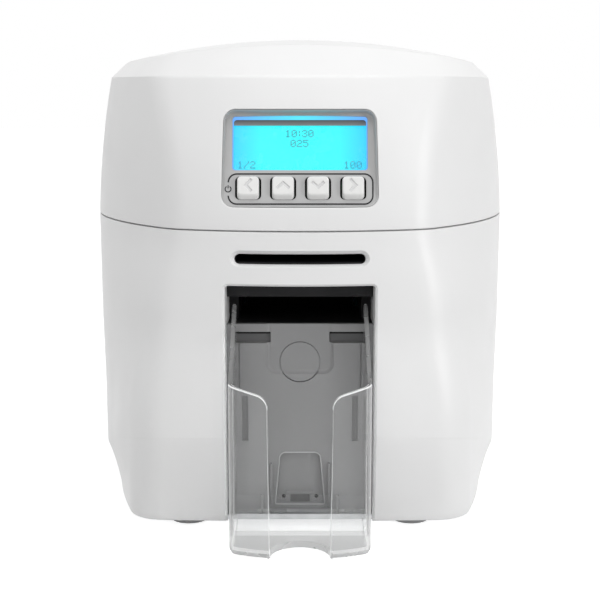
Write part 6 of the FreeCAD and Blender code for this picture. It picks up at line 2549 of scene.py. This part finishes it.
@dataclass
class Studio:
    """Pale floor, soft lights and the camera, in metres."""

    front_y: float
    distance: float = 0.560
    height: float = 0.2077
    pitch: float = 9.62
    lens: float = 74.7
    sensor: float = 36.0
    clip: Pair = (0.01, 50.0)
    floor_half: float = 6.0
    floor_colour: Colour = (0.57, 0.57, 0.57)
    floor_glow: float = 0.77
    ambient: float = 0.478
    target: Triple = (0.0, 0.0, 0.12)
    lamps: tuple[Lamp, ...] = (Lamp("top_light", (-0.1, -0.45, 1.35), (1.5, 0.9), 9.3),
                               Lamp("right_light", (1.12, -0.80, 0.27), (0.24, 0.9), 7.0),
                               Lamp("left_light", (-1.2, -0.9, 0.5), (0.7, 0.9), 0.25),
                               Lamp("front_light", (-0.55, -1.6, 0.75), (0.8, 0.5), 2.4))

    def floor(self) -> Piece:
        """Make the pale floor, which is lit up to white where the camera sees it unshaded.

        Returns:
            The floor.
        """
        half = self.floor_half
        data = bpy.data.meshes.new("floor")
        data.from_pydata([(-half, -half, 0), (half, -half, 0), (half, half, 0), (-half, half, 0)], [],
                         [(0, 1, 2, 3)])
        floor = bpy.data.objects.new("floor", data)
        bpy.context.scene.collection.objects.link(floor)
        pen = Pen("pale_floor")
        pen.tone(pen.noise(3.0), self.floor_colour, 0.01)
        glow = pen.math("MULTIPLY", pen.shown(), self.floor_glow)
        pen.join(glow, pen.shader.inputs["Emission Strength"])
        pen.set(roughness=0.9, emission_color=WHITE)
        data.materials.append(pen.material)
        return floor

    def world(self) -> None:
        """Set the soft light from all round, behind which the background is white."""
        world = bpy.data.worlds.new("studio")
        world.use_nodes = True
        bpy.context.scene.world = world
        graph = Graph(world.node_tree)
        background = graph.tree.nodes["Background"]
        background.inputs["Color"].default_value = (*WHITE, 1.0)
        level = graph.spread(graph.shown(), self.ambient, 1.0, (0.0, 1.0))
        graph.join(level, background.inputs["Strength"])

    def camera(self) -> None:
        """Set the camera at the photograph's angle."""
        data = bpy.data.cameras.new("camera")
        data.lens = self.lens
        data.sensor_width = self.sensor
        data.clip_start, data.clip_end = self.clip
        camera = bpy.data.objects.new("camera", data)
        camera.location = (0.0, self.front_y - self.distance, self.height)
        camera.rotation_euler = (math.radians(90 - self.pitch), 0.0, 0.0)
        bpy.context.scene.collection.objects.link(camera)
        bpy.context.scene.camera = camera

    def build(self) -> None:
        """Set up the whole studio."""
        self.floor()
        self.world()
        for lamp in self.lamps:
            lamp.hang(Vector(self.target))
        self.camera()
        bpy.context.scene.view_settings.view_transform = "Standard"


# The printer

SOFT_NODES = ("exit_chute", "hopper_door")
SOFT_WIDTH = 0.3


def dress_solids(frame: dict, wardrobe: Wardrobe) -> None:
    """Give every solid the finish that the record names, and round the edges of two that show.

    Args:
        frame: the printer's solids and record.
        wardrobe: gives the materials.
    """
    for row in frame["record"]["subparts"]:
        wardrobe.dress(frame["nodes"][row["node"]], FINISHES[Slot(row["material_slot"])])
    for name in SOFT_NODES:
        soften(frame["nodes"][name], SOFT_WIDTH)


def main() -> None:
    """Build the printer around the frame and report each piece."""
    logging.basicConfig(level=logging.INFO, format="%(message)s")
    for left_over in list(bpy.data.objects):
        bpy.data.objects.remove(left_over)
    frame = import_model()
    wardrobe = Wardrobe()
    dress_solids(frame, wardrobe)
    shop = Workshop(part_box("lower_case")[0].y)
    casing = Casing()
    lid = LidShell(shop, wardrobe, casing)
    assemblies = (
        LowerCase(shop, wardrobe, casing),
        lid,
        Knuckles(shop, wardrobe, "case_knuckles", "chassis", ((45.0, 54.0), (66.0, 75.0)), 134.0),
        Knuckles(shop, wardrobe, "lid_knuckles", "lid", ((54.3, 65.7),), 154.0),
        Knuckles(shop, wardrobe, "door_case_knuckles", "chassis", ((14.0, 18.0), (24.0, 28.0)), 33.6,
                 y=235.5, z=38.0, radius=2.2),
        Bezel(shop, wardrobe, lid.skin),
        KeyCaps(shop, wardrobe),
        PanelMarks(shop, wardrobe),
        BackPlate(shop, wardrobe),
        Tray(shop, wardrobe),
    )
    for assembly in assemblies:
        for name, piece in assembly.install().items():
            LOG.info("%s: %d faces", name, len(piece.data.polygons))
    Studio(shop.front_y).build()


if __name__ == "__main__":
    main()
